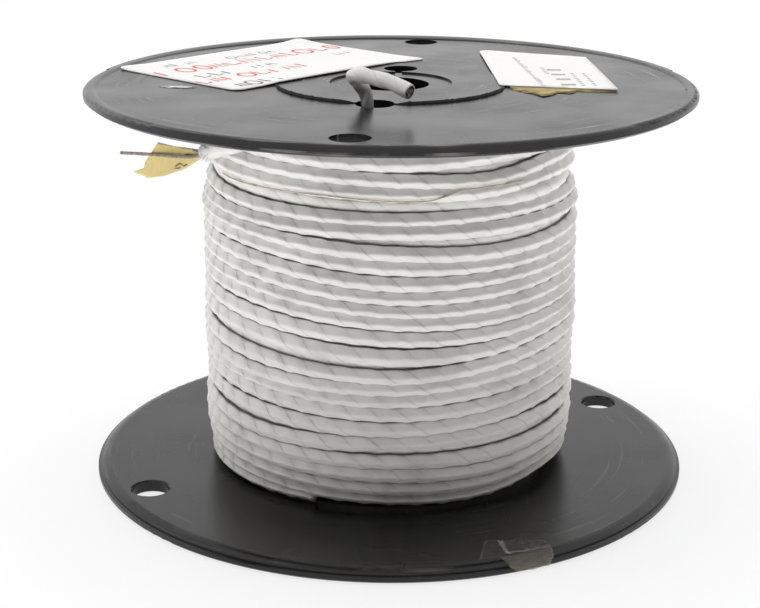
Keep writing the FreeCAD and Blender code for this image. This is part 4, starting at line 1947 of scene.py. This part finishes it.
@dataclass
class Studio:
    """Plain pale floor, soft light from all round and the camera at the photograph's angle."""

    eye: tuple[float, float, float] = (-6.688, -451.157, 187.931)
    ahead: tuple[float, float, float] = (0.00845439, 0.95336761, -0.30169309)
    right: tuple[float, float, float] = (0.99996383, -0.00777872, 0.00344092)
    lens: float = 79.97
    bands: tuple[tuple[float, float], ...] = (
        (0.0, 1.35), (0.3, 1.35), (0.42, 0.8), (0.55, 0.4), (0.82, 0.45), (0.9, 3.8),
    )
    left_bias: float = 0.2
    front_share: float = 0.04
    front_fade: tuple[float, float] = (-0.5, 0.14)
    floor_bounce: float = 0.72
    floor_glow: float = 0.75
    floor_reach: float = 6.0
    floor_drop: float = 0.02

    def camera(self) -> None:
        """Make the camera for a picture of 760 by 608 pixels."""
        data = bpy.data.cameras.new("camera")
        data.sensor_width = 36.0
        data.lens = self.lens
        data.clip_start, data.clip_end = 0.01, 50.0
        camera = bpy.data.objects.new("camera", data)
        back = -Vector(self.ahead).normalized()
        right = Vector(self.right).normalized()
        turned = Matrix((right, back.cross(right), back)).transposed()
        camera.matrix_world = Matrix.Translation(Vector(self.eye) * MM) @ turned.to_4x4()
        bpy.context.scene.collection.objects.link(camera)
        bpy.context.scene.camera = camera

    def seen_rays(self, tree: Tree) -> Socket:
        """One where the background is looked at, straight or in a reflection or through something clear.

        Args:
            tree: The tree that reads it.

        Returns:
            The socket.
        """
        rays = add_node(tree, "ShaderNodeLightPath").outputs
        mirrored = maths(tree, "MAXIMUM", rays["Is Glossy Ray"], rays["Is Transmission Ray"])
        return maths(tree, "MAXIMUM", rays["Is Camera Ray"], mirrored)

    def floor(self) -> None:
        """Make the pale floor, a wide disc under the reel."""
        whole = bmesh.new()
        bmesh.ops.create_circle(whole, cap_ends=True, radius=self.floor_reach, segments=96)
        mesh = finished_mesh("floor", whole)
        material, tree, shader = new_surface("studio_floor")
        seen = self.seen_rays(tree)
        shade = blend(tree, seen, Hue.FLOOR_PALE, Hue.FLOOR_SHADE)
        glow = remap(tree, seen, (0.0, 1.0), (self.floor_bounce, self.floor_glow))
        tree.links.new(shade, shader.inputs["Base Color"])
        tree.links.new(glow, shader.inputs["Emission Strength"])
        shader.inputs["Emission Color"].default_value = grey(1.0)
        shader.inputs["Roughness"].default_value = 1.0
        shader.inputs["Specular IOR Level"].default_value = 0.0
        mesh.materials.append(material)
        floor = bpy.data.objects.new("floor", mesh)
        floor.location.z = -self.floor_drop * MM
        bpy.context.scene.collection.objects.link(floor)
        floor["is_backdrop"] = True

    def sky(self) -> None:
        """Make the white surround, brightest round the horizon and plain white where the camera sees it."""
        world = bpy.data.worlds.new("surround")
        world.use_nodes = True
        tree = world.node_tree
        tree.nodes.clear()
        way = add_node(tree, "ShaderNodeTexCoord").outputs["Generated"]
        axes = add_node(tree, "ShaderNodeSeparateXYZ", links={0: way}).outputs
        brightest = max(strength for _, strength in self.bands)
        band = grey_ramp(tree, axes["Z"], *((place, strength / brightest) for place, strength in self.bands))
        side = maths(tree, "MULTIPLY_ADD", axes["X"], -self.left_bias * brightest, brightest)
        front = remap(tree, axes["Y"], self.front_fade, (self.front_share, 1.0))
        level = maths(tree, "MULTIPLY", band, maths(tree, "MULTIPLY", side, front))
        shown = {"Value": self.seen_rays(tree), "To Min": level}
        strength = add_node(tree, "ShaderNodeMapRange", {"To Max": 1.0}, shown)
        white = {"Color": grey(1.0)}
        light = add_node(tree, "ShaderNodeBackground", white, {"Strength": strength.outputs[0]})
        add_node(tree, "ShaderNodeOutputWorld", links={"Surface": light.outputs[0]})
        bpy.context.scene.world = world

    def lamp(self, name: str, place: tuple[float, float, float], size: float, watts: float) -> None:
        """Add one soft square lamp aimed at the reel.

        Args:
            name: The lamp's name.
            place: Where it stands, in metres.
            size: Its side, in metres.
            watts: Its power.
        """
        data = bpy.data.lights.new(name, "AREA")
        data.size = size
        data.energy = watts
        lamp = bpy.data.objects.new(name, data)
        lamp.location = place
        lamp.rotation_euler = (Vector((0, 0, 0.05)) - Vector(place)).to_track_quat("-Z", "Y").to_euler()
        bpy.context.scene.collection.objects.link(lamp)

    def build(self) -> None:
        """Make the floor, the light and the camera."""
        self.floor()
        self.sky()
        self.lamp("soft_key", (-1.6, -0.3, 0.5), 0.9, 3.0)
        self.camera()
        bpy.context.scene.view_settings.view_transform = "Standard"


def corners(box: tuple[Vector, Vector]) -> list[list[float]]:
    """A box's lowest and highest corner as plain lists."""
    return [list(map(float, corner)) for corner in box]


def main() -> None:
    """Build every sub-assembly in order and report each piece."""
    logging.basicConfig(level=logging.INFO, format="%(name)s: %(message)s")
    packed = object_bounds()
    finishes = Finishes()
    pieces: list[MeshObject] = []
    pieces += Reel().build(finishes)
    pieces += Winding().build(finishes)
    dress(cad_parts["inner_tail_drain_wire"], finishes.tinned)
    inner_tail = CableEnd("inner_tail", INNER_ROUTE, (0.0, -1.0, 0.0), neck=0.82, body=0.92)
    pieces.append(inner_tail.build(finishes, [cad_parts["inner_tail_drain_wire"]]))
    drain = DrainWire().build(finishes)
    flag = MaskingFlag().build(finishes)
    outer_tail = CableEnd("outer_tail", OUTER_ROUTE, (-0.33, -0.94, 0.0), fray=Fray(90))
    pieces += [outer_tail.build(finishes, [drain, *flag]), drain, *flag]
    pieces.append(BinderThread().build(finishes))
    pieces += HandwrittenLabel().build(finishes)
    pieces += PrintedLabel().build(finishes)
    pieces += TornCard().build(finishes)
    pieces.append(ClearTape().build(finishes))
    for piece in pieces:
        LOG.info("%s: %d vertices", piece.name, len(piece.data.vertices))
    Studio().build()
    {"packed": corners(packed), "dressed": corners(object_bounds())}


if __name__ == "__main__":
    main()
